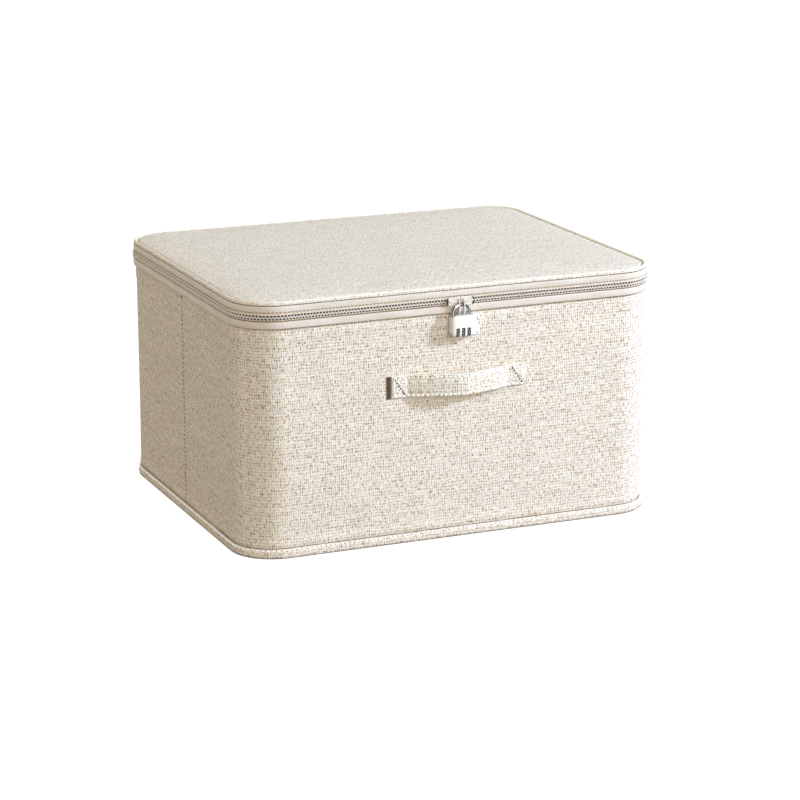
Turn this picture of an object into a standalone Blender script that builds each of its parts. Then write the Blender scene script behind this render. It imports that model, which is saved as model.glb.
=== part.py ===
"""Fabric storage box with a padded lid, a two-slider zip, a front handle and a three-dial padlock.

Metres, +Z up. The origin is the centre of the base, on the surface that the box stands on.
+X is to the right of someone who faces the front, and the front looks along -Y.
"""

import math

import bmesh
import bpy
from mathutils import Vector

# Clearances
SEAM_GAP = 0.0003
RUNNING_GAP = 0.0002
CUT_OVERRUN = 0.001
WELD_DISTANCE = 0.00001

# Smoothness of round corners, in segments
CORNER_SEGMENTS = 8
SMALL_CORNER_SEGMENTS = 4
BORE_SEGMENTS = 24
PIN_SEGMENTS = 16
DIAL_SEGMENTS = 30

# Box body, over the cover's outer face
BOX_WIDTH = 0.500
BOX_DEPTH = 0.411
CORNER_RADIUS = 0.0474
COVER_THICKNESS = 0.0016
SHEET_THICKNESS = 0.0025
LINING_THICKNESS = 0.0008
BASE_COVER_THICKNESS = 0.0014
BASE_BOARD_THICKNESS = 0.0030

# Hem round the base
HEM_HEIGHT = 0.0105
HEM_PROUD = 0.0022
HEM_ROUND = 0.0010

# Zip
PARTING_HEIGHT = 0.2708
TEETH_ROW_HEIGHT = 0.0019
TEETH_ROW_PARTING = 0.0014
TEETH_PROUD = 0.0041
TAPE_THICKNESS = 0.0007
LOWER_TAPE_WIDTH = 0.0115
UPPER_TAPE_WIDTH = 0.0100
ZIP_END_X = 0.170

# Satin bands on both sides of the zip
LOWER_BAND_PROUD = 0.0032
LOWER_BAND_WIDTH = 0.0096
LOWER_BAND_FROM_PARTING = 0.0043
UPPER_BAND_PROUD = 0.0028
UPPER_BAND_WIDTH = 0.0081
UPPER_BAND_FROM_PARTING = 0.0042
BAND_ROUND = 0.0011
BAND_FOLD = 0.0013

# Lid
LID_WALL_THICKNESS = 0.0020
LID_LINING_THICKNESS = 0.0007
LID_BOARD_THICKNESS = 0.0025
LID_PANEL_THICKNESS = 0.0012
LID_FOAM_INSET = 0.0045
LID_CROWN = 0.0036
LID_CROWN_RUN = 0.075
CROWN_RUN_SHARES = (0.0, 0.05, 0.13, 0.28, 0.52, 0.8, 1.0)
CROWN_POWER = 0.8
BEAD_WIDTH = 0.0058
BEAD_HEIGHT = 0.0028
BEAD_INSET = 0.0034
PANEL_EDGE_LIFT = 0.0003
HINGE_CLEARANCE = 0.0003

# Handle strap
HANDLE_LENGTH = 0.161
HANDLE_HEIGHT = 0.0250
HANDLE_CENTRE_SHARE = 0.6647
HANDLE_THICKNESS = 0.0030
HANDLE_PAD_LENGTH = 0.0175
HANDLE_BOW = 0.0130
HANDLE_BOW_POWER = 1.5

# Zip sliders
SLIDER_LENGTH = 0.0165
SLIDER_NOSE_HEIGHT = 0.0110
SLIDER_TAIL_HEIGHT = 0.0084
SLIDER_PLATE_THICKNESS = 0.0014
SLIDER_BACK_THICKNESS = 0.0012
SLIDER_BACK_HEIGHT = 0.0096
SLIDER_POST_HEIGHT = 0.0009
SLIDER_POST_LENGTH = 0.0030
SLIDER_POST_FROM_NOSE = 0.0022
SLIDER_ROUND = 0.0012
NOSE_GAP = 0.0006
BRIDGE_RADIUS = 0.0009
BRIDGE_RISE = 0.0010
BRIDGE_FOOT_FROM_NOSE = 0.0010
BRIDGE_FOOT_FROM_TAIL = 0.0028
BRIDGE_BEND = 0.0011

# Pull tabs
PULL_THICKNESS = 0.0011
PULL_WIDTH = 0.0050
PULL_LENGTH = 0.0171
PULL_FROM_CENTRE = 0.0030
PULL_EYE_CLEARANCE = 0.00035
PULL_HOLE_CLEARANCE = 0.00040
PULL_HOLE_DROP = 0.0046

# Padlock: shackle and case
SHACKLE_RADIUS = 0.00135
SHACKLE_HALF_SPAN = 0.0100
SHACKLE_ARCH_LIFT = 0.0012
SHACKLE_LONG_LEG = 0.0126
SHACKLE_SHORT_LEG = 0.0050
SHACKLE_BORE_CLEARANCE = 0.00025
UNLOCK_TRAVEL = 0.0060
CASE_HEIGHT = 0.0246
CASE_THICKNESS = 0.0125
CASE_LEFT = 0.0125
CASE_TOP_RIGHT = 0.0147
CASE_RIGHT = 0.0210
CASE_SHOULDER_HEIGHT = 0.0090
CASE_TOP_ROUND = 0.0022
CASE_SHOULDER_ROUND = 0.0120
CASE_RIGHT_ROUND = 0.0026
CASE_LEFT_ROUND = 0.0055
CASE_EDGE_ROUND = 0.0022
BACK_COVER_THICKNESS = 0.0014
BACK_COVER_INSET = 0.0020

# Padlock: dials
DIAL_RADIUS = 0.0050
DIAL_WIDTH = 0.0039
DIAL_PITCH = 0.0067
DIAL_BORE_CLEARANCE = 0.00008
DIAL_BEVEL = 0.0003
DIAL_PROUD = 0.00015
DIAL_AXIS_HEIGHT = 0.0050
DIAL_SIDE_GAP = 0.00015
DIAL_BAY_TOP = 0.0107
AXLE_RADIUS = 0.0012
AXLE_OVERHANG = 0.0018
AXLE_BORE_CLEARANCE = 0.00008
DETENT_THICKNESS = 0.00035
DETENT_HEIGHT = 0.0062

# Padlock: latch, spring and reset pin
LATCH_HEIGHT = 0.0016
LATCH_DEPTH = 0.0030
LATCH_BOTTOM = 0.0147
LATCH_LENGTH = 0.0142
LATCH_ENGAGEMENT = 0.0004
LATCH_NOSE_LENGTH = 0.0030
LATCH_NOSE_DEPTH = 0.0014
NOTCH_DEPTH = 0.0006
NOTCH_BOTTOM = 0.0130
NOTCH_HEIGHT = 0.0050
LATCH_BAY_CLEARANCE = 0.00030
LATCH_STROKE_SHARE = 0.3
SPRING_RADIUS = 0.00068
SPRING_WIRE_RADIUS = 0.00018
SPRING_BORE_RADIUS = 0.0010
SPRING_SEAT_THICKNESS = 0.0010
SPRING_TURNS = 7
SPRING_POINTS_PER_TURN = 8
RESET_PIN_RADIUS = 0.0008
RESET_PIN_LENGTH = 0.0040
RESET_PIN_X = 0.0163
RESET_PIN_HEIGHT = 0.0040
RESET_PIN_RECESS = 0.0002
RESET_PIN_TRAVEL = 0.0008

# Levels and lines that several pieces share
HALF_WIDTH = BOX_WIDTH / 2
HALF_DEPTH = BOX_DEPTH / 2
SLIDER_BACK_BOTTOM = PARTING_HEIGHT - SLIDER_BACK_HEIGHT / 2
SLIDER_BACK_TOP = PARTING_HEIGHT + SLIDER_BACK_HEIGHT / 2
WALL_TOP = SLIDER_BACK_BOTTOM - 2 * SEAM_GAP
SHEET_INSET = COVER_THICKNESS + SEAM_GAP
LINING_INSET = SHEET_INSET + SHEET_THICKNESS + SEAM_GAP
BASE_BOARD_BOTTOM = BASE_COVER_THICKNESS + SEAM_GAP
LINING_BOTTOM = BASE_BOARD_BOTTOM + BASE_BOARD_THICKNESS + SEAM_GAP
TEETH_INSIDE = 2 * SEAM_GAP + TAPE_THICKNESS
LOWER_BAND_TOP = PARTING_HEIGHT - LOWER_BAND_FROM_PARTING
LOWER_BAND_BOTTOM = LOWER_BAND_TOP - LOWER_BAND_WIDTH
UPPER_BAND_BOTTOM = PARTING_HEIGHT + UPPER_BAND_FROM_PARTING
UPPER_BAND_TOP = UPPER_BAND_BOTTOM + UPPER_BAND_WIDTH
LID_WALL_BOTTOM = SLIDER_BACK_TOP + 2 * SEAM_GAP
LID_BOARD_INSET = LID_WALL_THICKNESS + SEAM_GAP
LID_LINING_BOTTOM = LID_WALL_BOTTOM + SEAM_GAP
LID_BOARD_BOTTOM = LID_LINING_BOTTOM + LID_LINING_THICKNESS + SEAM_GAP
LID_FOAM_BOTTOM = LID_BOARD_BOTTOM + LID_BOARD_THICKNESS + SEAM_GAP
BEAD_BOTTOM = UPPER_BAND_TOP + SEAM_GAP
PANEL_INSET = BEAD_INSET + SEAM_GAP
PANEL_BOTTOM = BEAD_BOTTOM + PANEL_EDGE_LIFT
LID_FOAM_TOP = PANEL_BOTTOM - SEAM_GAP
HINGE_Y = HALF_DEPTH + TEETH_PROUD + HINGE_CLEARANCE
HANDLE_CENTRE_HEIGHT = PARTING_HEIGHT * HANDLE_CENTRE_SHARE

SLIDER_FACE = TEETH_PROUD + SEAM_GAP
SLIDER_OUTSIDE = SLIDER_FACE + SLIDER_PLATE_THICKNESS
EYE_RADIUS = PULL_WIDTH / 2
BRIDGE_Y = -HALF_DEPTH - SLIDER_OUTSIDE - RUNNING_GAP - EYE_RADIUS
BRIDGE_Z = PARTING_HEIGHT + BRIDGE_RISE
PULL_HOLE_Z = BRIDGE_Z - PULL_HOLE_DROP
ARCH_DROP_AT_PULL = SHACKLE_HALF_SPAN - math.sqrt(SHACKLE_HALF_SPAN**2 - PULL_FROM_CENTRE**2)
CROWN_Z = PULL_HOLE_Z + ARCH_DROP_AT_PULL
ARCH_CENTRE_Z = CROWN_Z - SHACKLE_HALF_SPAN
CASE_TOP = ARCH_CENTRE_Z - SHACKLE_ARCH_LIFT
CASE_BOTTOM = CASE_TOP - CASE_HEIGHT
CASE_FRONT = BRIDGE_Y - CASE_THICKNESS / 2
CASE_BACK = BRIDGE_Y + CASE_THICKNESS / 2
BACK_COVER_FRONT = CASE_BACK - BACK_COVER_THICKNESS
DIAL_Y = CASE_FRONT - DIAL_PROUD + DIAL_RADIUS
DIAL_Z = CASE_BOTTOM + DIAL_AXIS_HEIGHT
DIAL_BAY_HALF_WIDTH = DIAL_PITCH + DIAL_WIDTH / 2 + RUNNING_GAP
SPRING_BOTTOM = DIAL_AXIS_HEIGHT + AXLE_RADIUS + AXLE_BORE_CLEARANCE + SPRING_SEAT_THICKNESS
LATCH_NOSE_TIP = -SHACKLE_HALF_SPAN + SHACKLE_RADIUS - LATCH_ENGAGEMENT
LATCH_RIGHT = LATCH_NOSE_TIP + LATCH_LENGTH
LATCH_STROKE = UNLOCK_TRAVEL * LATCH_STROKE_SHARE
LATCH_BAY_RIGHT = LATCH_RIGHT + LATCH_STROKE + LATCH_BAY_CLEARANCE


def clear_scene():
    for obj in list(bpy.data.objects):
        bpy.data.objects.remove(obj, do_unlink=True)


def new_collection(name):
    collection = bpy.data.collections.new(name)
    bpy.context.scene.collection.children.link(collection)
    return collection


clear_scene()
PARTS = new_collection("clothes_storage_box")
CUTTERS = new_collection("cutters")


# Materials

def linear(hex_colour):
    """An sRGB hex colour as the linear RGBA that a shader takes."""
    channels = [int(hex_colour[i:i + 2], 16) / 255 for i in (0, 2, 4)]
    bent = [c / 12.92 if c <= 0.04045 else ((c + 0.055) / 1.055) ** 2.4 for c in channels]
    return (*bent, 1.0)


def material(name, hex_colour, roughness, metallic=0.0):
    made = bpy.data.materials.get(name)
    if made:
        return made
    made = bpy.data.materials.new(name)
    made.use_nodes = True
    shader = made.node_tree.nodes["Principled BSDF"]
    shader.inputs["Base Color"].default_value = linear(hex_colour)
    shader.inputs["Roughness"].default_value = roughness
    shader.inputs["Metallic"].default_value = metallic
    return made


def linen():
    return material("linen", "DCD2C2", 0.9)


def satin_band():
    return material("satin_band", "E3D8CF", 0.5)


def zip_tape():
    return material("zip_tape", "D8CCC0", 0.85)


def zip_plastic():
    return material("zip_plastic", "D9CFC4", 0.4)


def lining_cloth():
    return material("lining_cloth", "D9D3C8", 0.95)


def stiffening_sheet():
    return material("stiffening_sheet", "E8E6E0", 0.6)


def paperboard():
    return material("paperboard", "A8987C", 0.9)


def foam():
    return material("foam", "EFECE4", 0.95)


def enamelled_zinc():
    return material("enamelled_zinc", "F3F1EE", 0.3)


def polished_steel():
    return material("polished_steel", "C9CCD2", 0.15, 1.0)


def dial_plastic():
    return material("dial_plastic", "1C1D21", 0.4)


def spring_steel():
    return material("spring_steel", "8F9297", 0.35, 1.0)


# Outlines

def arc(centre, radius, start, end, segments):
    """Points on an arc, with both ends, by angles in degrees."""
    points = []
    for step in range(segments + 1):
        angle = math.radians(start + (end - start) * step / segments)
        points.append((centre[0] + radius * math.cos(angle), centre[1] + radius * math.sin(angle)))
    return points


def circle(centre, radius):
    return arc(centre, radius, 0, 360, BORE_SEGMENTS)[:-1]


# Each corner's side in X and Y, and the angle at which its arc starts, counter-clockwise from above
REAR_LEFT = (-1, 1, 90)
FRONT_LEFT = (-1, -1, 180)
FRONT_RIGHT = (1, -1, 270)
REAR_RIGHT = (1, 1, 0)


def corner_arc(corner, outset):
    side_x, side_y, start = corner
    least = CORNER_RADIUS / CORNER_SEGMENTS
    radius = max(CORNER_RADIUS + outset, least)
    centre = (side_x * (HALF_WIDTH + outset - radius), side_y * (HALF_DEPTH + outset - radius))
    return arc(centre, radius, start, start + 90, CORNER_SEGMENTS)


def plan_outline(outset=0.0):
    """The box's plan, counter-clockwise, moved outwards by outset."""
    points = []
    for corner in (REAR_LEFT, FRONT_LEFT, FRONT_RIGHT, REAR_RIGHT):
        points += corner_arc(corner, outset)
    return points


def front_path():
    """The cover's outer face from the left side seam round the front to the right one."""
    seam_y = -SEAM_GAP / 2
    corners = corner_arc(FRONT_LEFT, 0) + corner_arc(FRONT_RIGHT, 0)
    return [(-HALF_WIDTH, seam_y)] + corners + [(HALF_WIDTH, seam_y)]


def rear_path():
    return [(-x, -y) for x, y in front_path()]


def zip_path():
    """From the zip's left end on the rear, round the left side, the front and the right side."""
    points = [(-ZIP_END_X, HALF_DEPTH)]
    for corner in (REAR_LEFT, FRONT_LEFT, FRONT_RIGHT, REAR_RIGHT):
        points += corner_arc(corner, 0)
    return points + [(ZIP_END_X, HALF_DEPTH)]


def hinge_path():
    end_x = ZIP_END_X - SEAM_GAP
    return [(end_x, HALF_DEPTH), (0.0, HALF_DEPTH), (-end_x, HALF_DEPTH)]


def rectangle(low_u, low_v, high_u, high_v):
    return [(low_u, low_v), (high_u, low_v), (high_u, high_v), (low_u, high_v)]


def rounded_polygon(corners, segments=SMALL_CORNER_SEGMENTS):
    """A counter-clockwise outline from corners, each given as (u, v, radius)."""
    points = []
    for index, (u, v, radius) in enumerate(corners):
        here = Vector((u, v))
        before = (Vector(corners[index - 1][:2]) - here).normalized()
        after = (Vector(corners[(index + 1) % len(corners)][:2]) - here).normalized()
        half_angle = before.angle(after) / 2
        centre = here + (before + after).normalized() * (radius / math.sin(half_angle))
        first = here + before * (radius / math.tan(half_angle)) - centre
        turn = math.pi - 2 * half_angle
        for step in range(segments + 1):
            angle = turn * step / segments
            cos, sin = math.cos(angle), math.sin(angle)
            points.append((
                centre.x + first.x * cos - first.y * sin,
                centre.y + first.x * sin + first.y * cos,
            ))
    return points


# Builders

def link(obj, mat=None, collection=None):
    (collection or PARTS).objects.link(obj)
    if mat:
        obj.data.materials.append(mat)
    return obj


def hide(obj):
    obj.hide_render = True
    obj.display_type = "WIRE"
    return obj


def poly_curve(name, outlines, cyclic, heights=None):
    """A 2D curve with one straight-sided spline for each outline."""
    curve = bpy.data.curves.new(name, "CURVE")
    curve.dimensions = "3D" if heights else "2D"
    for outline in outlines:
        spline = curve.splines.new("POLY")
        spline.points.add(len(outline) - 1)
        for index, (point, (u, v)) in enumerate(zip(spline.points, outline)):
            point.co = (u, v, heights[index] if heights else 0.0, 1.0)
        spline.use_cyclic_u = cyclic
    return curve


def plate(name, outlines, low, high, mat, axis="Z"):
    """Flat plate between two levels of an axis. Further outlines are holes.

    Along Z an outline is (x, y), along Y it is (x, z), and along X it is (y, z).
    """
    curve = poly_curve(name, outlines, True)
    curve.fill_mode = "BOTH"
    curve.extrude = (high - low) / 2
    obj = link(bpy.data.objects.new(name, curve), mat)
    middle = (low + high) / 2
    if axis == "Z":
        obj.location = (0.0, 0.0, middle)
    elif axis == "Y":
        obj.location = (0.0, middle, 0.0)
        obj.rotation_euler = (math.radians(90), 0.0, 0.0)
    else:
        obj.location = (middle, 0.0, 0.0)
        obj.rotation_euler = (math.radians(90), 0.0, math.radians(90))
    return obj


def sweep(name, path, profile, mat, cyclic=False):
    """Profile points (outset, height), counter-clockwise, carried along a level path.

    The path's outer side is on its right. A closed path takes the profile's X inwards and an
    open one takes it outwards, so one is mirrored and the other reversed, and both run clockwise.
    """
    if cyclic:
        outline = [(-outset, height) for outset, height in profile]
    else:
        outline = profile[::-1]
    shape = poly_curve(name + "_profile", [outline], True)
    guide = hide(link(bpy.data.objects.new(name + "_profile", shape), None, CUTTERS))
    curve = poly_curve(name, [path], cyclic)
    curve.bevel_mode = "OBJECT"
    curve.bevel_object = guide
    curve.use_fill_caps = not cyclic
    return link(bpy.data.objects.new(name, curve), mat)


def rod(name, points, radius, mat, resolution=2):
    """Round bar through 3D points."""
    outline = [(x, y) for x, y, _ in points]
    curve = poly_curve(name, [outline], False, [z for _, _, z in points])
    curve.bevel_depth = radius
    curve.bevel_resolution = resolution
    curve.use_fill_caps = True
    return link(bpy.data.objects.new(name, curve), mat)


def box(name, low, high, mat=None, collection=None):
    """Block between two opposite corners."""
    mesh = bpy.data.meshes.new(name)
    bm = bmesh.new()
    bmesh.ops.create_cube(bm, size=1.0)
    for vert in bm.verts:
        for axis in range(3):
            middle = (low[axis] + high[axis]) / 2
            vert.co[axis] = middle + vert.co[axis] * (high[axis] - low[axis])
    bm.to_mesh(mesh)
    bm.free()
    return link(bpy.data.objects.new(name, mesh), mat, collection)


def cylinder(name, radius, start, end, mat=None, collection=None, segments=BORE_SEGMENTS):
    """Round bar between two points, as a primitive turned onto its axis."""
    start, end = Vector(start), Vector(end)
    mesh = bpy.data.meshes.new(name)
    bm = bmesh.new()
    bmesh.ops.create_cone(
        bm, cap_ends=True, segments=segments, radius1=radius, radius2=radius,
        depth=(end - start).length,
    )
    bm.to_mesh(mesh)
    bm.free()
    obj = link(bpy.data.objects.new(name, mesh), mat, collection)
    obj.location = (start + end) / 2
    obj.rotation_mode = "QUATERNION"
    obj.rotation_quaternion = (end - start).to_track_quat("Z", "Y")
    smooth(mesh)
    return obj


def smooth(mesh, angle=35):
    mesh.shade_smooth()
    mesh.set_sharp_from_angle(angle=math.radians(angle))


def as_mesh(obj):
    """The same object as a welded mesh, in place of its curve."""
    bpy.context.view_layer.update()
    graph = bpy.context.evaluated_depsgraph_get()
    mesh = bpy.data.meshes.new_from_object(obj.evaluated_get(graph))
    name = obj.name
    matrix = obj.matrix_world.copy()
    collections = list(obj.users_collection)
    bpy.data.objects.remove(obj, do_unlink=True)
    made = bpy.data.objects.new(name, mesh)
    made.matrix_world = matrix
    for collection in collections:
        collection.objects.link(made)
    bm = bmesh.new()
    bm.from_mesh(mesh)
    bmesh.ops.remove_doubles(bm, verts=bm.verts, dist=WELD_DISTANCE)
    bmesh.ops.recalc_face_normals(bm, faces=bm.faces)
    bm.to_mesh(mesh)
    bm.free()
    return made


def bevel(obj, width, segments=2, angle=50):
    modifier = obj.modifiers.new("rounded_edges", "BEVEL")
    modifier.width = width
    modifier.segments = segments
    modifier.limit_method = "ANGLE"
    modifier.angle_limit = math.radians(angle)
    return obj


def boolean(obj, other, operation):
    modifier = obj.modifiers.new(operation.lower() + "_" + other.name, "BOOLEAN")
    modifier.operation = operation
    modifier.object = other
    modifier.solver = "EXACT"


def cut(obj, *cutters):
    for cutter in cutters:
        boolean(obj, hide(cutter), "DIFFERENCE")
    return obj


def join(obj, *others):
    """Fuses helper solids into an object."""
    for other in others:
        for collection in list(other.users_collection):
            collection.objects.unlink(other)
        CUTTERS.objects.link(other)
        boolean(obj, hide(other), "UNION")
    return obj


def hang(carrier, *children):
    """Parents pieces to a joint's empty, with their shapes left where they are."""
    bpy.context.view_layer.update()
    for child in children:
        child.parent = carrier
        child.matrix_parent_inverse = carrier.matrix_world.inverted()


def joint_empty(name, point, *children):
    """An empty on a joint's axis that carries the moving pieces."""
    empty = bpy.data.objects.new(name, None)
    PARTS.objects.link(empty)
    empty.location = point
    hang(empty, *children)
    return empty


# Box body

def wall_covers():
    profile = rectangle(-COVER_THICKNESS, 0.0, 0.0, WALL_TOP)
    return [
        sweep("front_cover", front_path(), profile, linen()),
        sweep("rear_cover", rear_path(), profile, linen()),
    ]


def wall_sheets():
    outer = -SHEET_INSET
    profile = rectangle(outer - SHEET_THICKNESS, BASE_BOARD_BOTTOM, outer, WALL_TOP)
    return [
        sweep("front_wall_sheet", front_path(), profile, stiffening_sheet()),
        sweep("rear_wall_sheet", rear_path(), profile, stiffening_sheet()),
    ]


def lining():
    """Fabric tray: an open sheet with thickness inwards."""
    mesh = bpy.data.meshes.new("lining")
    bm = bmesh.new()
    floor = [bm.verts.new((x, y, LINING_BOTTOM)) for x, y in plan_outline(-LINING_INSET)]
    bm.faces.new(floor)
    rim = bmesh.ops.extrude_edge_only(bm, edges=bm.edges[:])["geom"]
    raised = [item for item in rim if isinstance(item, bmesh.types.BMVert)]
    bmesh.ops.translate(bm, verts=raised, vec=(0.0, 0.0, WALL_TOP - LINING_BOTTOM))
    bmesh.ops.recalc_face_normals(bm, faces=bm.faces)
    bm.to_mesh(mesh)
    bm.free()
    obj = link(bpy.data.objects.new("lining", mesh), lining_cloth())
    shell = obj.modifiers.new("cloth_thickness", "SOLIDIFY")
    shell.thickness = LINING_THICKNESS
    shell.use_even_offset = True
    bpy.context.view_layer.update()
    outward = mesh.polygons[0].normal.z < 0
    shell.offset = -1.0 if outward else 1.0
    return obj


def base():
    inside_cover = [plan_outline(-SHEET_INSET)]
    under_lining = [plan_outline(-LINING_INSET)]
    board_top = BASE_BOARD_BOTTOM + BASE_BOARD_THICKNESS
    return [
        plate("base_cover", inside_cover, 0.0, BASE_COVER_THICKNESS, linen()),
        plate("base_board", under_lining, BASE_BOARD_BOTTOM, board_top, paperboard()),
    ]


def bottom_hem():
    inner, outer = SEAM_GAP, HEM_PROUD
    profile = [
        (inner, 0.0), (outer - HEM_ROUND, 0.0), (outer, HEM_ROUND),
        (outer, HEM_HEIGHT - HEM_ROUND), (outer - HEM_ROUND, HEM_HEIGHT), (inner, HEM_HEIGHT),
    ]
    return sweep("bottom_hem", plan_outline(), profile, linen(), cyclic=True)


def handle_strap():
    """Strap along the front: flat pads at the ends, bowed out between them."""
    half = HANDLE_LENGTH / 2
    bowed = half - HANDLE_PAD_LENGTH
    steps = 3 * CORNER_SEGMENTS
    line = -HALF_DEPTH - SEAM_GAP
    path = [(-half, line)]
    for step in range(steps + 1):
        share = -1 + 2 * step / steps
        bow = math.cos(math.pi / 2 * share) if abs(share) < 1 else 0.0
        rise = HANDLE_BOW * bow ** HANDLE_BOW_POWER
        path.append((share * bowed, line - rise))
    path.append((half, line))
    bottom = HANDLE_CENTRE_HEIGHT - HANDLE_HEIGHT / 2
    profile = rectangle(0.0, bottom, HANDLE_THICKNESS, bottom + HANDLE_HEIGHT)
    return sweep("handle_strap", path, profile, linen())


# Zip and bands

def lower_band():
    """Folded band: its foot turns in under the tape's lower edge."""
    outer, low, high = LOWER_BAND_PROUD, LOWER_BAND_BOTTOM, LOWER_BAND_TOP
    foot = low + BAND_FOLD
    profile = [
        (SEAM_GAP, low), (outer - BAND_ROUND, low), (outer, low + BAND_ROUND),
        (outer, high - BAND_ROUND), (outer - BAND_ROUND / 2, high), (TEETH_INSIDE, high),
        (TEETH_INSIDE, foot), (SEAM_GAP, foot),
    ]
    return sweep("lower_band", plan_outline(), profile, satin_band(), cyclic=True)


def upper_band():
    outer, low, high = UPPER_BAND_PROUD, UPPER_BAND_BOTTOM, UPPER_BAND_TOP
    head = high - BAND_FOLD
    profile = [
        (TEETH_INSIDE, low), (outer - BAND_ROUND / 2, low), (outer, low + BAND_ROUND),
        (outer, high - BAND_ROUND), (outer - BAND_ROUND, high), (SEAM_GAP, high),
        (SEAM_GAP, head), (TEETH_INSIDE, head),
    ]
    return sweep("upper_band", plan_outline(), profile, satin_band(), cyclic=True)


def zip_halves():
    half_parting = TEETH_ROW_PARTING / 2
    lower_edge = PARTING_HEIGHT - half_parting
    upper_edge = PARTING_HEIGHT + half_parting
    tape_in, tape_out = SEAM_GAP, SEAM_GAP + TAPE_THICKNESS
    lower_tape = rectangle(tape_in, lower_edge - LOWER_TAPE_WIDTH, tape_out, lower_edge)
    upper_tape = rectangle(tape_in, upper_edge, tape_out, upper_edge + UPPER_TAPE_WIDTH)
    lower_teeth = rectangle(TEETH_INSIDE, lower_edge - TEETH_ROW_HEIGHT, TEETH_PROUD, lower_edge)
    upper_teeth = rectangle(TEETH_INSIDE, upper_edge, TEETH_PROUD, upper_edge + TEETH_ROW_HEIGHT)
    return {
        "lower_tape": sweep("lower_zip_tape", zip_path(), lower_tape, zip_tape()),
        "upper_tape": sweep("upper_zip_tape", zip_path(), upper_tape, zip_tape()),
        "lower_teeth": sweep("lower_zip_teeth", zip_path(), lower_teeth, zip_plastic()),
        "upper_teeth": sweep("upper_zip_teeth", zip_path(), upper_teeth, zip_plastic()),
    }


def hinge_strips():
    """The rear hinge: a fabric strip in two halves that meet at the parting."""
    half_gap = SEAM_GAP / 2
    tape_in, tape_out = SEAM_GAP, SEAM_GAP + TAPE_THICKNESS
    low_edge = PARTING_HEIGHT - half_gap
    high_edge = PARTING_HEIGHT + half_gap
    lower = [
        (tape_in, low_edge - LOWER_TAPE_WIDTH), (tape_out, low_edge - LOWER_TAPE_WIDTH),
        (tape_out, LOWER_BAND_TOP + SEAM_GAP), (LOWER_BAND_PROUD, LOWER_BAND_TOP + SEAM_GAP),
        (LOWER_BAND_PROUD, low_edge), (tape_in, low_edge),
    ]
    upper = [
        (tape_in, high_edge), (UPPER_BAND_PROUD, high_edge),
        (UPPER_BAND_PROUD, UPPER_BAND_BOTTOM - SEAM_GAP), (tape_out, UPPER_BAND_BOTTOM - SEAM_GAP),
        (tape_out, high_edge + UPPER_TAPE_WIDTH), (tape_in, high_edge + UPPER_TAPE_WIDTH),
    ]
    return (
        sweep("lower_hinge_strip", hinge_path(), lower, linen()),
        sweep("upper_hinge_strip", hinge_path(), upper, linen()),
    )


# Lid

def crown_height(inset):
    """How far the padded top rises at a distance in from its edge."""
    share = min(inset / LID_CROWN_RUN, 1.0)
    return LID_CROWN * math.sin(math.pi / 2 * share) ** CROWN_POWER if share > 0 else 0.0


def crowned_rings(bm, edge_inset, edge_height):
    """Rings of the crowned top, from its edge inwards, bridged and closed in the middle."""
    rings = []
    for share in CROWN_RUN_SHARES:
        inset = share * LID_CROWN_RUN
        height = edge_height + crown_height(inset)
        points = plan_outline(-(edge_inset + inset))
        rings.append([bm.verts.new((x, y, height)) for x, y in points])
    for outer, inner in zip(rings, rings[1:]):
        for index, vert in enumerate(outer):
            following = (index + 1) % len(outer)
            bm.faces.new((vert, outer[following], inner[following], inner[index]))
    bm.faces.new(rings[-1])
    return rings[0]


def lid_top_panel():
    """Linen sheet over the padding, crowned towards the middle."""
    mesh = bpy.data.meshes.new("lid_top_panel")
    bm = bmesh.new()
    crowned_rings(bm, PANEL_INSET, PANEL_BOTTOM + LID_PANEL_THICKNESS)
    bmesh.ops.recalc_face_normals(bm, faces=bm.faces)
    bm.to_mesh(mesh)
    bm.free()
    smooth(mesh)
    obj = link(bpy.data.objects.new("lid_top_panel", mesh), linen())
    shell = obj.modifiers.new("cloth_thickness", "SOLIDIFY")
    shell.thickness = LID_PANEL_THICKNESS
    shell.offset = -1.0 if mesh.polygons[0].normal.z > 0 else 1.0
    return obj


def lid_foam():
    """Padding: flat below, crowned above."""
    mesh = bpy.data.meshes.new("lid_foam")
    bm = bmesh.new()
    rim = crowned_rings(bm, LID_FOAM_INSET, LID_FOAM_TOP)
    floor = [bm.verts.new((vert.co.x, vert.co.y, LID_FOAM_BOTTOM)) for vert in rim]
    for index, vert in enumerate(rim):
        following = (index + 1) % len(rim)
        bm.faces.new((vert, floor[index], floor[following], rim[following]))
    bm.faces.new(floor[::-1])
    bmesh.ops.recalc_face_normals(bm, faces=bm.faces)
    bm.to_mesh(mesh)
    bm.free()
    return link(bpy.data.objects.new("lid_foam", mesh), foam())


def lid_plates():
    inside = [plan_outline(-LID_BOARD_INSET)]
    board_top = LID_BOARD_BOTTOM + LID_BOARD_THICKNESS
    lining_top = LID_LINING_BOTTOM + LID_LINING_THICKNESS
    return [
        plate("lid_board", inside, LID_BOARD_BOTTOM, board_top, paperboard()),
        plate("lid_lining", inside, LID_LINING_BOTTOM, lining_top, lining_cloth()),
    ]


def lid_side_wall():
    profile = rectangle(-LID_WALL_THICKNESS, LID_WALL_BOTTOM, 0.0, UPPER_BAND_TOP)
    return sweep("lid_side_wall", plan_outline(), profile, paperboard(), cyclic=True)


def lid_bead():
    """Padded bead on the rim, round above and flat where it is sewn down."""
    segments = 2 * SMALL_CORNER_SEGMENTS
    half = BEAD_WIDTH / 2
    middle = half - BEAD_INSET
    profile = []
    for step in range(segments + 1):
        angle = math.pi * step / segments
        height = BEAD_BOTTOM + BEAD_HEIGHT * math.sin(angle)
        profile.append((middle + half * math.cos(angle), height))
    return sweep("lid_bead", plan_outline(), profile, linen(), cyclic=True)


# Zip sliders and pulls

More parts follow.
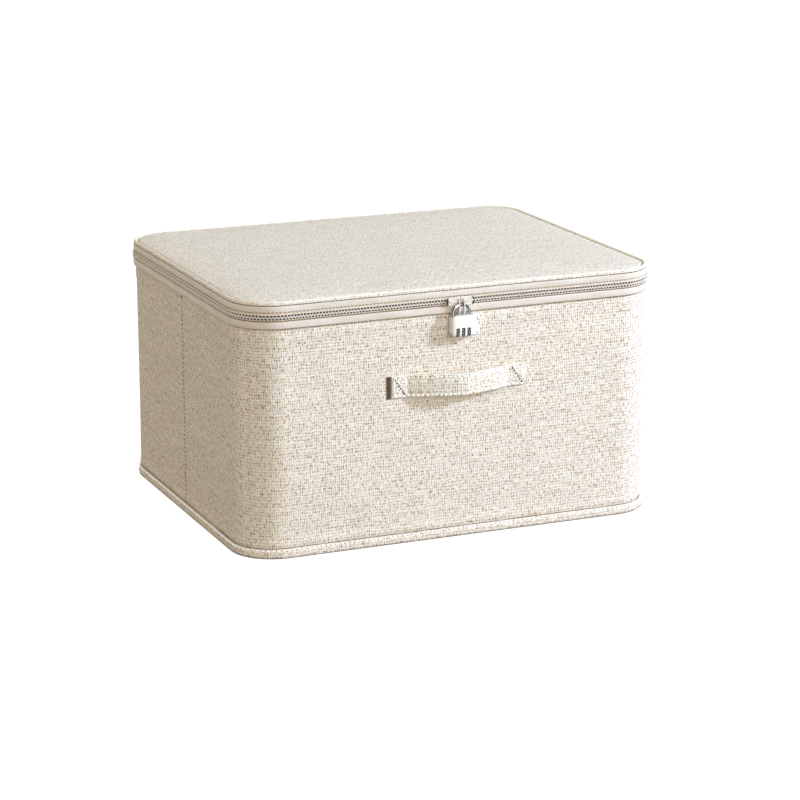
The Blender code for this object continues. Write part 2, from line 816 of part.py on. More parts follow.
def slider_outline(side, height_nose, height_tail):
    nose = NOSE_GAP / 2
    tail = nose + SLIDER_LENGTH
    corners = [
        (nose, -height_nose / 2, SLIDER_ROUND), (tail, -height_tail / 2, SLIDER_ROUND),
        (tail, height_tail / 2, SLIDER_ROUND), (nose, height_nose / 2, SLIDER_ROUND),
    ]
    points = [(x, z + PARTING_HEIGHT) for x, z in rounded_polygon(corners)]
    if side < 0:
        points = [(-x, z) for x, z in reversed(points)]
    return points


def bridge_points(side):
    """Centre line of the slider's bridge: out from the plate, along X and back."""
    plate_y = -HALF_DEPTH - SLIDER_FACE - SLIDER_PLATE_THICKNESS / 2
    nose_x = NOSE_GAP / 2 + BRIDGE_FOOT_FROM_NOSE
    tail_x = NOSE_GAP / 2 + SLIDER_LENGTH - BRIDGE_FOOT_FROM_TAIL
    bend_y = BRIDGE_Y + BRIDGE_BEND
    line = [(nose_x, plate_y)]
    line += arc((nose_x + BRIDGE_BEND, bend_y), BRIDGE_BEND, 180, 270, SMALL_CORNER_SEGMENTS)
    line += arc((tail_x - BRIDGE_BEND, bend_y), BRIDGE_BEND, 270, 360, SMALL_CORNER_SEGMENTS)
    line += [(tail_x, plate_y)]
    return [(side * x, y, BRIDGE_Z) for x, y in line]


def slider(name, side):
    """Front plate, back plate behind the tapes, the post between the rows and the bridge."""
    face_y = -HALF_DEPTH - SLIDER_FACE
    back_y = -HALF_DEPTH + SLIDER_BACK_THICKNESS
    front = plate(
        name, [slider_outline(side, SLIDER_NOSE_HEIGHT, SLIDER_TAIL_HEIGHT)],
        face_y - SLIDER_PLATE_THICKNESS, face_y, enamelled_zinc(), "Y",
    )
    front = bevel(as_mesh(front), SLIDER_PLATE_THICKNESS / 4)
    back = as_mesh(plate(
        name + "_back", [slider_outline(side, SLIDER_BACK_HEIGHT, SLIDER_TAIL_HEIGHT)],
        -HALF_DEPTH, back_y, enamelled_zinc(), "Y",
    ))
    post_nose = NOSE_GAP / 2 + SLIDER_POST_FROM_NOSE
    ends = sorted((side * post_nose, side * (post_nose + SLIDER_POST_LENGTH)))
    post = box(
        name + "_post",
        (ends[0], face_y - SLIDER_PLATE_THICKNESS / 2, PARTING_HEIGHT - SLIDER_POST_HEIGHT / 2),
        (ends[1], back_y - SLIDER_BACK_THICKNESS / 2, PARTING_HEIGHT + SLIDER_POST_HEIGHT / 2),
        enamelled_zinc(),
    )
    bridge = as_mesh(rod(name + "_bridge", bridge_points(side), BRIDGE_RADIUS, enamelled_zinc()))
    join(front, back, post, bridge)
    smooth(front.data)
    return joint_empty(name + "_slide", (side * NOSE_GAP / 2, face_y, PARTING_HEIGHT), front)


def pull(name, side):
    """Flat tab that hangs edge on, with an eye for the bridge and a hole for the shackle."""
    half = PULL_WIDTH / 2
    bottom = BRIDGE_Z + half - PULL_LENGTH
    top = BRIDGE_Z + half
    corners = [
        (BRIDGE_Y - half, bottom, half / 2), (BRIDGE_Y + half, bottom, half / 2),
        (BRIDGE_Y + half, top, half - RUNNING_GAP / 2), (BRIDGE_Y - half, top, half - RUNNING_GAP / 2),
    ]
    eye = circle((BRIDGE_Y, BRIDGE_Z), BRIDGE_RADIUS + PULL_EYE_CLEARANCE)
    hole = circle((BRIDGE_Y, PULL_HOLE_Z), SHACKLE_RADIUS + PULL_HOLE_CLEARANCE)
    middle = side * PULL_FROM_CENTRE
    tab = plate(
        name, [rounded_polygon(corners), eye, hole],
        middle - PULL_THICKNESS / 2, middle + PULL_THICKNESS / 2, enamelled_zinc(), "X",
    )
    tab = as_mesh(tab)
    smooth(tab.data)
    return joint_empty(name + "_swing", (middle, BRIDGE_Y, BRIDGE_Z), tab)


# Padlock

def shackle():
    """Bent bar: long notched leg on the left, short leg on the right."""
    left_end = CASE_TOP - SHACKLE_LONG_LEG
    right_end = CASE_TOP - SHACKLE_SHORT_LEG
    arch = arc((0.0, ARCH_CENTRE_Z), SHACKLE_HALF_SPAN, 180, 0, 2 * CORNER_SEGMENTS)
    line = [(-SHACKLE_HALF_SPAN, left_end)] + arch + [(SHACKLE_HALF_SPAN, right_end)]
    centre_line = [(x, BRIDGE_Y, z) for x, z in line]
    bar = as_mesh(rod("shackle", centre_line, SHACKLE_RADIUS, polished_steel()))
    leg_inside = -SHACKLE_HALF_SPAN + SHACKLE_RADIUS
    reach = SHACKLE_RADIUS + CUT_OVERRUN
    notch_bottom = CASE_BOTTOM + NOTCH_BOTTOM
    notch = box(
        "latch_notch", (leg_inside - NOTCH_DEPTH, BRIDGE_Y - reach, notch_bottom),
        (leg_inside + CUT_OVERRUN, BRIDGE_Y + reach, notch_bottom + NOTCH_HEIGHT), None, CUTTERS,
    )
    cut(bar, notch)
    smooth(bar.data)
    return joint_empty("lock_swing", (0.0, BRIDGE_Y, PULL_HOLE_Z), bar)


def case_outline(inset=0.0):
    """Case seen from the front: upright left side, right side spreading to the bottom."""
    corners = [
        (-CASE_LEFT + inset, CASE_BOTTOM + inset, CASE_LEFT_ROUND),
        (CASE_RIGHT - inset, CASE_BOTTOM + inset, CASE_RIGHT_ROUND),
        (CASE_RIGHT - inset, CASE_BOTTOM + CASE_SHOULDER_HEIGHT, CASE_SHOULDER_ROUND),
        (CASE_TOP_RIGHT - inset, CASE_TOP - inset, CASE_TOP_ROUND),
        (-CASE_LEFT + inset, CASE_TOP - inset, CASE_TOP_ROUND),
    ]
    return rounded_polygon(corners)


def dial_centres():
    return [DIAL_PITCH * index for index in (-1, 0, 1)]


def lock_case():
    """Die-cast case: bays and bores open to the back, slots for the dials at the front."""
    case = plate("lock_case", [case_outline()], CASE_FRONT, CASE_BACK, enamelled_zinc(), "Y")
    case = bevel(as_mesh(case), CASE_EDGE_ROUND, 3, 60)
    recess = as_mesh(plate(
        "cover_recess", [case_outline(BACK_COVER_INSET)],
        BACK_COVER_FRONT - SEAM_GAP, CASE_BACK + CUT_OVERRUN, None, "Y",
    ))
    half = DIAL_BAY_HALF_WIDTH
    axle_end = half + AXLE_OVERHANG + SEAM_GAP
    bay_front = DIAL_Y - AXLE_RADIUS
    dial_bay = box(
        "dial_bay", (-half, bay_front, CASE_BOTTOM + BACK_COVER_INSET),
        (half, CASE_BACK, CASE_BOTTOM + DIAL_BAY_TOP), None, CUTTERS,
    )
    slot_half = DIAL_WIDTH / 2 + DIAL_SIDE_GAP
    slot_back = DIAL_Y + DIAL_RADIUS + RUNNING_GAP
    slots = [
        box(
            "dial_slot_" + str(index),
            (x - slot_half, CASE_FRONT - CUT_OVERRUN, CASE_BOTTOM - CUT_OVERRUN),
            (x + slot_half, slot_back, CASE_BOTTOM + DIAL_BAY_TOP), None, CUTTERS,
        )
        for index, x in enumerate(dial_centres(), 1)
    ]
    axle_bore = cylinder(
        "axle_bore", AXLE_RADIUS + AXLE_BORE_CLEARANCE,
        (-axle_end, DIAL_Y, DIAL_Z), (axle_end, DIAL_Y, DIAL_Z), None, CUTTERS,
    )
    leg_radius = SHACKLE_RADIUS + SHACKLE_BORE_CLEARANCE
    bore_top = CASE_TOP + CUT_OVERRUN
    long_bore = cylinder(
        "long_leg_bore", leg_radius,
        (-SHACKLE_HALF_SPAN, BRIDGE_Y, CASE_TOP - SHACKLE_LONG_LEG - SEAM_GAP),
        (-SHACKLE_HALF_SPAN, BRIDGE_Y, bore_top), None, CUTTERS,
    )
    short_bore = cylinder(
        "short_leg_bore", leg_radius,
        (SHACKLE_HALF_SPAN, BRIDGE_Y, CASE_TOP - SHACKLE_SHORT_LEG - SEAM_GAP),
        (SHACKLE_HALF_SPAN, BRIDGE_Y, bore_top), None, CUTTERS,
    )
    spring_bore = cylinder(
        "spring_bore", SPRING_BORE_RADIUS,
        (-SHACKLE_HALF_SPAN, BRIDGE_Y, CASE_BOTTOM + SPRING_BOTTOM - SEAM_GAP),
        (-SHACKLE_HALF_SPAN, BRIDGE_Y, CASE_TOP - SHACKLE_LONG_LEG), None, CUTTERS,
    )
    latch_half = LATCH_DEPTH / 2 + LATCH_BAY_CLEARANCE
    latch_low = CASE_BOTTOM + LATCH_BOTTOM
    latch_bay = box(
        "latch_bay",
        (-SHACKLE_HALF_SPAN, BRIDGE_Y - latch_half, latch_low - LATCH_BAY_CLEARANCE),
        (LATCH_BAY_RIGHT, CASE_BACK, latch_low + LATCH_HEIGHT + LATCH_BAY_CLEARANCE), None, CUTTERS,
    )
    pin_z = CASE_BOTTOM + RESET_PIN_HEIGHT
    pin_reach = RESET_PIN_RECESS + RESET_PIN_LENGTH + RESET_PIN_TRAVEL
    reset_bore = cylinder(
        "reset_bore", RESET_PIN_RADIUS + RUNNING_GAP / 2,
        (RESET_PIN_X, CASE_FRONT - CUT_OVERRUN, pin_z),
        (RESET_PIN_X, CASE_FRONT + pin_reach + SEAM_GAP, pin_z), None, CUTTERS, PIN_SEGMENTS,
    )
    cut(case, recess, dial_bay, *slots, axle_bore, latch_bay, reset_bore)
    cut(case, long_bore, short_bore, spring_bore)
    smooth(case.data)
    return case


def lock_back_cover():
    return plate(
        "lock_back_cover", [case_outline(BACK_COVER_INSET + SEAM_GAP)],
        BACK_COVER_FRONT, CASE_BACK, enamelled_zinc(), "Y",
    )


def dial(index, x):
    """Dial wheel: a profile of bore, sides and rim turned about the axle."""
    name = "dial_" + str(index)
    half = DIAL_WIDTH / 2
    bore = AXLE_RADIUS + DIAL_BORE_CLEARANCE
    rim = DIAL_RADIUS - DIAL_BEVEL
    profile = [
        (bore, half), (rim, half), (DIAL_RADIUS, half - DIAL_BEVEL),
        (DIAL_RADIUS, DIAL_BEVEL - half), (rim, -half), (bore, -half),
    ]
    mesh = bpy.data.meshes.new(name)
    bm = bmesh.new()
    verts = [bm.verts.new((radius, 0.0, along)) for radius, along in profile]
    for before, after in zip(verts, verts[1:] + verts[:1]):
        bm.edges.new((before, after))
    bm.to_mesh(mesh)
    bm.free()
    wheel = link(bpy.data.objects.new(name, mesh), dial_plastic())
    wheel.location = (x, DIAL_Y, DIAL_Z)
    wheel.rotation_euler = (0.0, math.radians(90), 0.0)
    turn = wheel.modifiers.new("turned", "SCREW")
    turn.steps = turn.render_steps = DIAL_SEGMENTS
    turn.use_merge_vertices = True
    turn.merge_threshold = WELD_DISTANCE
    turn.use_smooth_shade = True
    return wheel


def dial_axle():
    end = DIAL_BAY_HALF_WIDTH + AXLE_OVERHANG
    left, right = (-end, DIAL_Y, DIAL_Z), (end, DIAL_Y, DIAL_Z)
    return cylinder("dial_axle", AXLE_RADIUS, left, right, spring_steel())


def detent_spring():
    """Leaf between the dials and the back cover."""
    half = DIAL_BAY_HALF_WIDTH - RUNNING_GAP
    back = BACK_COVER_FRONT - SEAM_GAP
    return box(
        "detent_spring", (-half, back - DETENT_THICKNESS, DIAL_Z - DETENT_HEIGHT / 2 + RUNNING_GAP),
        (half, back, DIAL_Z + DETENT_HEIGHT / 2 + RUNNING_GAP), spring_steel(),
    )


def latch_plate():
    """Sliding plate whose nose sits in the long leg's notch."""
    low = CASE_BOTTOM + LATCH_BOTTOM
    high = low + LATCH_HEIGHT
    body_left = LATCH_NOSE_TIP + LATCH_NOSE_LENGTH
    body = box(
        "latch_plate", (body_left, BRIDGE_Y - LATCH_DEPTH / 2, low),
        (LATCH_RIGHT, BRIDGE_Y + LATCH_DEPTH / 2, high), spring_steel(),
    )
    nose = box(
        "latch_nose", (LATCH_NOSE_TIP, BRIDGE_Y - LATCH_NOSE_DEPTH / 2, low),
        (body_left + CUT_OVERRUN, BRIDGE_Y + LATCH_NOSE_DEPTH / 2, high), spring_steel(),
    )
    return joint_empty("latch_slide", (LATCH_NOSE_TIP, BRIDGE_Y, low), join(body, nose))


def shackle_spring():
    """Coil under the long leg, as one unbroken wire."""
    top = CASE_TOP - SHACKLE_LONG_LEG - SEAM_GAP - SPRING_WIRE_RADIUS
    bottom = CASE_BOTTOM + SPRING_BOTTOM + SPRING_WIRE_RADIUS
    steps = SPRING_TURNS * SPRING_POINTS_PER_TURN
    points = []
    for step in range(steps + 1):
        angle = 2 * math.pi * step / SPRING_POINTS_PER_TURN
        points.append((
            -SHACKLE_HALF_SPAN + SPRING_RADIUS * math.cos(angle),
            BRIDGE_Y + SPRING_RADIUS * math.sin(angle),
            bottom + (top - bottom) * step / steps,
        ))
    return rod("shackle_spring", points, SPRING_WIRE_RADIUS, spring_steel(), 1)


def reset_pin():
    height = CASE_BOTTOM + RESET_PIN_HEIGHT
    front = (RESET_PIN_X, CASE_FRONT + RESET_PIN_RECESS, height)
    back = (RESET_PIN_X, CASE_FRONT + RESET_PIN_RECESS + RESET_PIN_LENGTH, height)
    pin = cylinder("reset_pin", RESET_PIN_RADIUS, front, back, spring_steel(), None, PIN_SEGMENTS)
    return joint_empty("reset_press", front, pin)


# Assembly

def build_box():
    wall_covers()
    wall_sheets()
    lining()
    base()
    bottom_hem()
    lower_band()
    handle_strap()


def build_lid(zip_parts, upper_hinge_strip):
    pieces = [lid_top_panel(), lid_foam(), *lid_plates(), lid_side_wall(), lid_bead(), upper_band()]
    pieces += [zip_parts["upper_tape"], zip_parts["upper_teeth"], upper_hinge_strip]
    joint_empty("lid_hinge", (0.0, HINGE_Y, PARTING_HEIGHT), *pieces)


def build_padlock():
    """The padlock, which hangs from the left pull."""
    bar = shackle()
    case_pieces = [lock_case(), lock_back_cover(), dial_axle(), detent_spring(), shackle_spring()]
    case = joint_empty("case_slide", (0.0, BRIDGE_Y, CASE_TOP), *case_pieces)
    dials = [dial(index, x) for index, x in enumerate(dial_centres(), 1)]
    hang(case, *dials, latch_plate(), reset_pin())
    hang(bar, case)
    return bar


def main():
    build_box()
    zip_parts = zip_halves()
    hinge = hinge_strips()
    build_lid(zip_parts, hinge[1])
    padlock = build_padlock()
    for name, side in (("right", 1), ("left", -1)):
        swing = pull(name + "_pull", side)
        hang(slider(name + "_slider", side), swing)
    hang(swing, padlock)


main()
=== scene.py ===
"""Linen storage box with a padded zip-round lid, a strap handle and a small combination padlock."""

import math
import random

import bmesh
import bpy
import numpy as np
from mathutils import Matrix, Vector


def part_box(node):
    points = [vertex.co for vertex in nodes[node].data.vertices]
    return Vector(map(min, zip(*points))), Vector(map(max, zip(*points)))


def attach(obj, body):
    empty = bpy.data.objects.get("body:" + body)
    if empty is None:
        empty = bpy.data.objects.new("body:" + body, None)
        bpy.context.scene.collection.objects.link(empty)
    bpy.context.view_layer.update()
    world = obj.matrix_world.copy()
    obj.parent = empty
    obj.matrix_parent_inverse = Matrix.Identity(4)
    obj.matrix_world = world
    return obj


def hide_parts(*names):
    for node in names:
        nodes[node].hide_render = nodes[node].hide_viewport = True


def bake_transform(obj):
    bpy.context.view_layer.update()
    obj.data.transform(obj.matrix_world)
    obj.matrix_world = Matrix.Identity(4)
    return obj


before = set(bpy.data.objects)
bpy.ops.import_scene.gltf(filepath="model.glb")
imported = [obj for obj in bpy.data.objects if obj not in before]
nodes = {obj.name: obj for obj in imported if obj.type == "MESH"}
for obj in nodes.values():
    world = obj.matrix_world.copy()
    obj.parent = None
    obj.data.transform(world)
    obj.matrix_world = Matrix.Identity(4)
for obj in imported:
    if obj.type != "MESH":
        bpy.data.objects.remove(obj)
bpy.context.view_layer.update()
scene = bpy.context.scene

# Sizes shared with the frame, in metres
WIDTH, DEPTH, RADIUS = 0.500, 0.411, 0.0474
FRONT = -DEPTH / 2
PARTING = 0.2708
COVER_IN = -0.0016
HEM_TOP = 0.0105
LOWER_BAND = (0.2580, 0.2661)
UPPER_BAND = (0.2760, 0.2831)
ZIP_END_X = 0.170
TOOTH_PITCH = 0.00366
HANDLE_HALF, HANDLE_PAD, HANDLE_BOW = 0.0805, 0.0175, 0.0170
HANDLE_Z, HANDLE_HALF_HEIGHT = 0.1800, 0.0125


# Camera, at the angle of the photograph

camera = bpy.data.objects.new("camera", bpy.data.cameras.new("camera"))
scene.collection.objects.link(camera)
camera.data.sensor_width = 36.0
camera.data.lens = 121.46
camera.location = (-1.2029, -2.8343, 0.9322)
camera.rotation_euler = (math.radians(74.99), 0.0, math.radians(-23.32))
scene.camera = camera


# Outline of the box, by the distance along it

STRAIGHT_X = WIDTH - 2 * RADIUS
STRAIGHT_Y = DEPTH - 2 * RADIUS
QUARTER = math.pi * RADIUS / 2
PERIMETER = 2 * (STRAIGHT_X + STRAIGHT_Y) + 4 * QUARTER
SIDE_SEAM = PERIMETER / 4
ZIP_END = PERIMETER / 2 - ZIP_END_X


def outline_legs():
    """Straights and corners from the middle of the front, counter-clockwise from above."""
    x, y, heading, start = 0.0, FRONT, 0.0, 0.0
    legs = []
    half_x = STRAIGHT_X / 2
    for length, turns in (
        (half_x, 0), (QUARTER, 1), (STRAIGHT_Y, 0), (QUARTER, 1), (STRAIGHT_X, 0),
        (QUARTER, 1), (STRAIGHT_Y, 0), (QUARTER, 1), (half_x, 0),
    ):
        legs.append((start, length, x, y, heading, turns))
        if turns:
            after = heading + math.pi / 2
            x += RADIUS * (math.sin(after) - math.sin(heading))
            y -= RADIUS * (math.cos(after) - math.cos(heading))
            heading = after
        else:
            x += length * math.cos(heading)
            y += length * math.sin(heading)
        start += length
    return legs


LEGS = outline_legs()


def plan(along):
    """Points on the outline and their outward normals."""
    along = np.mod(np.asarray(along, float), PERIMETER)
    x, y, heading = (np.zeros_like(along) for _ in range(3))
    for start, length, from_x, from_y, turned, turns in LEGS:
        here = (along >= start - 1e-9) & (along <= start + length + 1e-9)
        gone = along[here] - start
        if turns:
            now = turned + gone / RADIUS
            x[here] = from_x + RADIUS * (np.sin(now) - math.sin(turned))
            y[here] = from_y - RADIUS * (np.cos(now) - math.cos(turned))
            heading[here] = now
        else:
            x[here] = from_x + gone * math.cos(turned)
            y[here] = from_y + gone * math.sin(turned)
            heading[here] = turned
    return x, y, np.sin(heading), -np.cos(heading)


def handle_plan(along):
    """The strap's own line: flat pads at its ends, bowed out between them."""
    bowed = HANDLE_HALF - HANDLE_PAD
    share = np.clip(np.asarray(along, float) / bowed, -1, 1)
    rise = HANDLE_BOW * (1 - np.abs(share) ** 1.5)
    slope = HANDLE_BOW * 1.5 * np.sqrt(np.abs(share)) * np.sign(share) / bowed * (np.abs(share) < 1)
    size = np.sqrt(1 + slope ** 2)
    return np.asarray(along, float), FRONT - 0.0003 - rise, -slope / size, -1 / size


# Mesh builders

def finish_mesh(name, verts, faces, uvs, sharp=50.0):
    """Object from points, faces and UVs in metres, with its faces turned outwards."""
    mesh = bpy.data.meshes.new(name)
    mesh.from_pydata([tuple(v) for v in verts], [], [tuple(int(i) for i in f) for f in faces])
    if uvs is not None:
        layer = mesh.uv_layers.new(name="metres")
        layer.data.foreach_set("uv", np.asarray(uvs, np.float32).ravel())
    bm = bmesh.new()
    bm.from_mesh(mesh)
    bmesh.ops.recalc_face_normals(bm, faces=bm.faces)
    bm.to_mesh(mesh)
    bm.free()
    mesh.shade_smooth()
    mesh.set_sharp_from_angle(angle=math.radians(sharp))
    obj = bpy.data.objects.new(name, mesh)
    scene.collection.objects.link(obj)
    return obj


def strip(name, profile, span=None, step=0.004, warp=None, path=plan, sharp=50.0):
    """Closed section of (outset, height) points carried along a line; round the box if no span is given."""
    profile = np.array(profile, float)
    sides = len(profile)
    if span is None:
        count = round(PERIMETER / step)
        stations = np.arange(count) * PERIMETER / count
    else:
        count = math.ceil((span[1] - span[0]) / step) + 1
        stations = np.linspace(span[0], span[1], count)
    along = np.repeat(stations[:, None], sides, axis=1)
    outset = np.repeat(profile[None, :, 0], count, axis=0)
    height = np.repeat(profile[None, :, 1], count, axis=0)
    if warp:
        outset, height = warp(along, outset, height)
    x, y, nx, ny = path(along)
    verts = np.stack([x + nx * outset, y + ny * outset, height], axis=-1).reshape(-1, 3)
    lengths = np.hypot(*(np.roll(profile, -1, axis=0) - profile).T)
    across = np.concatenate([[0], np.cumsum(lengths)]) + profile[0, 1]
    last = count if span is None else count - 1
    faces, uvs = [], []
    for i in range(last):
        j = (i + 1) % count
        here = stations[i]
        there = stations[j] if j else PERIMETER
        for k in range(sides):
            n = (k + 1) % sides
            faces.append((i * sides + k, j * sides + k, j * sides + n, i * sides + n))
            uvs += [(here, across[k]), (there, across[k]), (there, across[k + 1]), (here, across[k + 1])]
    if span is not None:
        for base in (0, (count - 1) * sides):
            faces.append(tuple(base + k for k in range(sides)))
            uvs += [(profile[k, 0], profile[k, 1]) for k in range(sides)]
    return finish_mesh(name, verts, faces, uvs, sharp)


def dish(name, rings, step=0.005, lift=None, sharp=50.0):
    """Closed skin over rings of (share of the outline, outset, height), shut at a centre point on each side."""
    count = round(PERIMETER / step)
    stations = np.arange(count) * PERIMETER / count
    x, y, nx, ny = plan(stations)
    layers = []
    for share, outset, height in rings:
        px, py = share * (x + nx * outset), share * (y + ny * outset)
        pz = np.full(count, float(height))
        if lift:
            pz = pz + lift(px, py, height)
        layers.append(np.stack([px, py, pz], axis=-1))
    first = np.array([[0, 0, layers[0][:, 2].mean()]])
    end = np.array([[0, 0, layers[-1][:, 2].mean()]])
    verts = np.concatenate([first, *layers, end])
    faces, along = [], []
    final = len(verts) - 1
    for i in range(count):
        j = (i + 1) % count
        faces.append((0, 1 + i, 1 + j))
        along.append((0, i, i + 1))
        for k in range(len(rings) - 1):
            low, high = 1 + k * count, 1 + (k + 1) * count
            faces.append((low + i, high + i, high + j, low + j))
            along.append((i, i, i + 1, i + 1))
        low = 1 + (len(rings) - 1) * count
        faces.append((low + j, low + i, final))
        along.append((i + 1, i, 0))
    uvs = []
    for face, where in zip(faces, along):
        a, b, c = verts[face[0]], verts[face[1]], verts[face[2]]
        normal = np.cross(b - a, c - a)
        flat = abs(normal[2]) > 0.5 * np.linalg.norm(normal)
        for index, station in zip(face, where):
            point = verts[index]
            uvs.append((point[0], point[1]) if flat else (station * PERIMETER / count, point[2]))
    return finish_mesh(name, verts, faces, uvs, sharp)


def along_line(points, count):
    """The same open line with evenly spaced points."""
    points = np.array(points, float)
    lengths = np.concatenate([[0], np.cumsum(np.hypot(*np.diff(points, axis=0).T))])
    at = np.linspace(0, lengths[-1], count)
    return list(zip(np.interp(at, lengths, points[:, 0]), np.interp(at, lengths, points[:, 1])))


def copies(name, shape, faces, centres, ahead, up, sharp=60.0):
    """One mesh of many equal small bodies, each turned to its own direction and upright."""
    shape = np.array(shape, float)
    centres, ahead, up = (np.array(a, float) for a in (centres, ahead, up))
    across = np.cross(up, ahead)
    verts = (
        centres[:, None] + shape[None, :, 0:1] * ahead[:, None]
        + shape[None, :, 1:2] * across[:, None] + shape[None, :, 2:3] * up[:, None]
    )
    size = len(shape)
    every = [tuple(i + n * size for i in face) for n in range(len(centres)) for face in faces]
    return finish_mesh(name, verts.reshape(-1, 3), every, None, sharp)


def tube_faces(sides, spans):
    """Faces between rings of points that follow each other, with both ends shut."""
    faces = []
    for ring in range(spans):
        for k in range(sides):
            n = (k + 1) % sides
            faces.append((ring * sides + k, ring * sides + n, (ring + 1) * sides + n, (ring + 1) * sides + k))
    faces.append(tuple(range(sides)))
    faces.append(tuple(spans * sides + k for k in range(sides)))
    return faces


def stitch_shape(length, radius, sides=6):
    """A stitch: a short thread that rises from the cloth, runs along it and dips back."""
    rings = [(-0.5, 0.45, -1.1), (-0.36, 0.95, -0.1), (0, 1.05, 0.25), (0.36, 0.95, -0.1), (0.5, 0.45, -1.1)]
    shape = []
    for share, size, rise in rings:
        for k in range(sides):
            angle = 2 * math.pi * k / sides
            high = rise * radius + size * radius * math.sin(angle)
            shape.append((share * length, size * radius * math.cos(angle), high))
    return shape, tube_faces(sides, len(rings) - 1)


def round_row(name, height, outset, pitch, length, radius, up_tilt=0.0):
    """Row of stitches round the box at one height."""
    count = round(PERIMETER / pitch)
    where = (np.arange(count) + 0.5) * PERIMETER / count
    x, y, nx, ny = plan(where)
    level = np.zeros_like(x)
    centres = np.stack([x + nx * outset, y + ny * outset, level + height], axis=-1)
    ahead = np.stack([-ny, nx, level], axis=-1)
    tilt_out, tilt_up = math.cos(up_tilt), math.sin(up_tilt)
    up = np.stack([nx * tilt_out, ny * tilt_out, level + tilt_up], axis=-1)
    return copies(name, *stitch_shape(length, radius), centres, ahead, up)


def line_row(start, end, pitch):
    """Centres and direction of the stitches between two points (along the strap, height)."""
    start, end = np.array(start), np.array(end)
    distance = np.linalg.norm(end - start)
    count = max(1, round(distance / pitch))
    shares = (np.arange(count) + 0.5) / count
    return start + shares[:, None] * (end - start), np.repeat([(end - start) / distance], count, axis=0)


# Materials

def linear(code):
    """Linear colour from an sRGB hex code."""
    channels = [int(code[i:i + 2], 16) / 255 for i in (0, 2, 4)]
    return tuple(c / 12.92 if c <= 0.04045 else ((c + 0.055) / 1.055) ** 2.4 for c in channels) + (1.0,)


def material(name, **settings):
    made = bpy.data.materials.new(name)
    made.use_nodes = True
    shader = made.node_tree.nodes["Principled BSDF"]
    for key, value in settings.items():
        shader.inputs[key.replace("_", " ")].default_value = value
    return made, made.node_tree, shader


def add(tree, kind, inputs=None, **settings):
    """A shader node with its settings, and its inputs joined to sockets or set to values."""
    node = tree.nodes.new("ShaderNode" + kind)
    for key, value in settings.items():
        setattr(node, key, value)
    for key, value in (inputs or {}).items():
        if isinstance(value, bpy.types.NodeSocket):
            tree.links.new(value, node.inputs[key])
        else:
            node.inputs[key].default_value = value
    return node


def noise(tree, where, scale, shift=0.0, detail=2.0, low=0.34, high=0.66):
    """Noise stretched by a scale for each axis, spread over the whole range from 0 to 1."""
    placed = add(tree, "Mapping", {"Vector": where, "Scale": scale, "Location": (shift, shift, shift)})
    made = add(tree, "TexNoise", {
        "Vector": placed.outputs[0], "Scale": 1.0, "Detail": detail, "Roughness": 0.6,
    })
    return spread(tree, made.outputs["Fac"], low, high)


def spread(tree, value, low=0.0, high=1.0, to_low=0.0, to_high=1.0):
    """A value brought from one range to another, and held within it."""
    ranges = {"From Min": low, "From Max": high, "To Min": to_low, "To Max": to_high}
    return add(tree, "MapRange", {"Value": value, **ranges}).outputs["Result"]


def blended(tree, share, first, second):
    """A colour between two others."""
    mixed = add(tree, "Mix", {0: share, 6: first, 7: second}, data_type="RGBA")
    return mixed.outputs[2]


def between(tree, share, first, second):
    """A number between two others."""
    return add(tree, "Mix", {0: share, 2: first, 3: second}, data_type="FLOAT").outputs[0]


def cloth_place(tree):
    """Place on the cloth in metres: along the piece and up it."""
    return add(tree, "UVMap", uv_map="metres").outputs["UV"]


def solid_place(tree):
    """Place in the solid in metres."""
    return add(tree, "TexCoord").outputs["Object"]


def surface(tree, shader, colour, height=None, depth=0.0003, strength=0.6):
    """Joins a colour and a relief to the shader."""
    tree.links.new(colour, shader.inputs["Base Color"])
    if height is not None:
        bump = add(tree, "Bump", {"Height": height, "Distance": depth, "Strength": strength})
        tree.links.new(bump.outputs[0], shader.inputs["Normal"])


def math_node(tree, operation, first, second=0.0):
    return add(tree, "Math", {0: first, 1: second}, operation=operation).outputs[0]


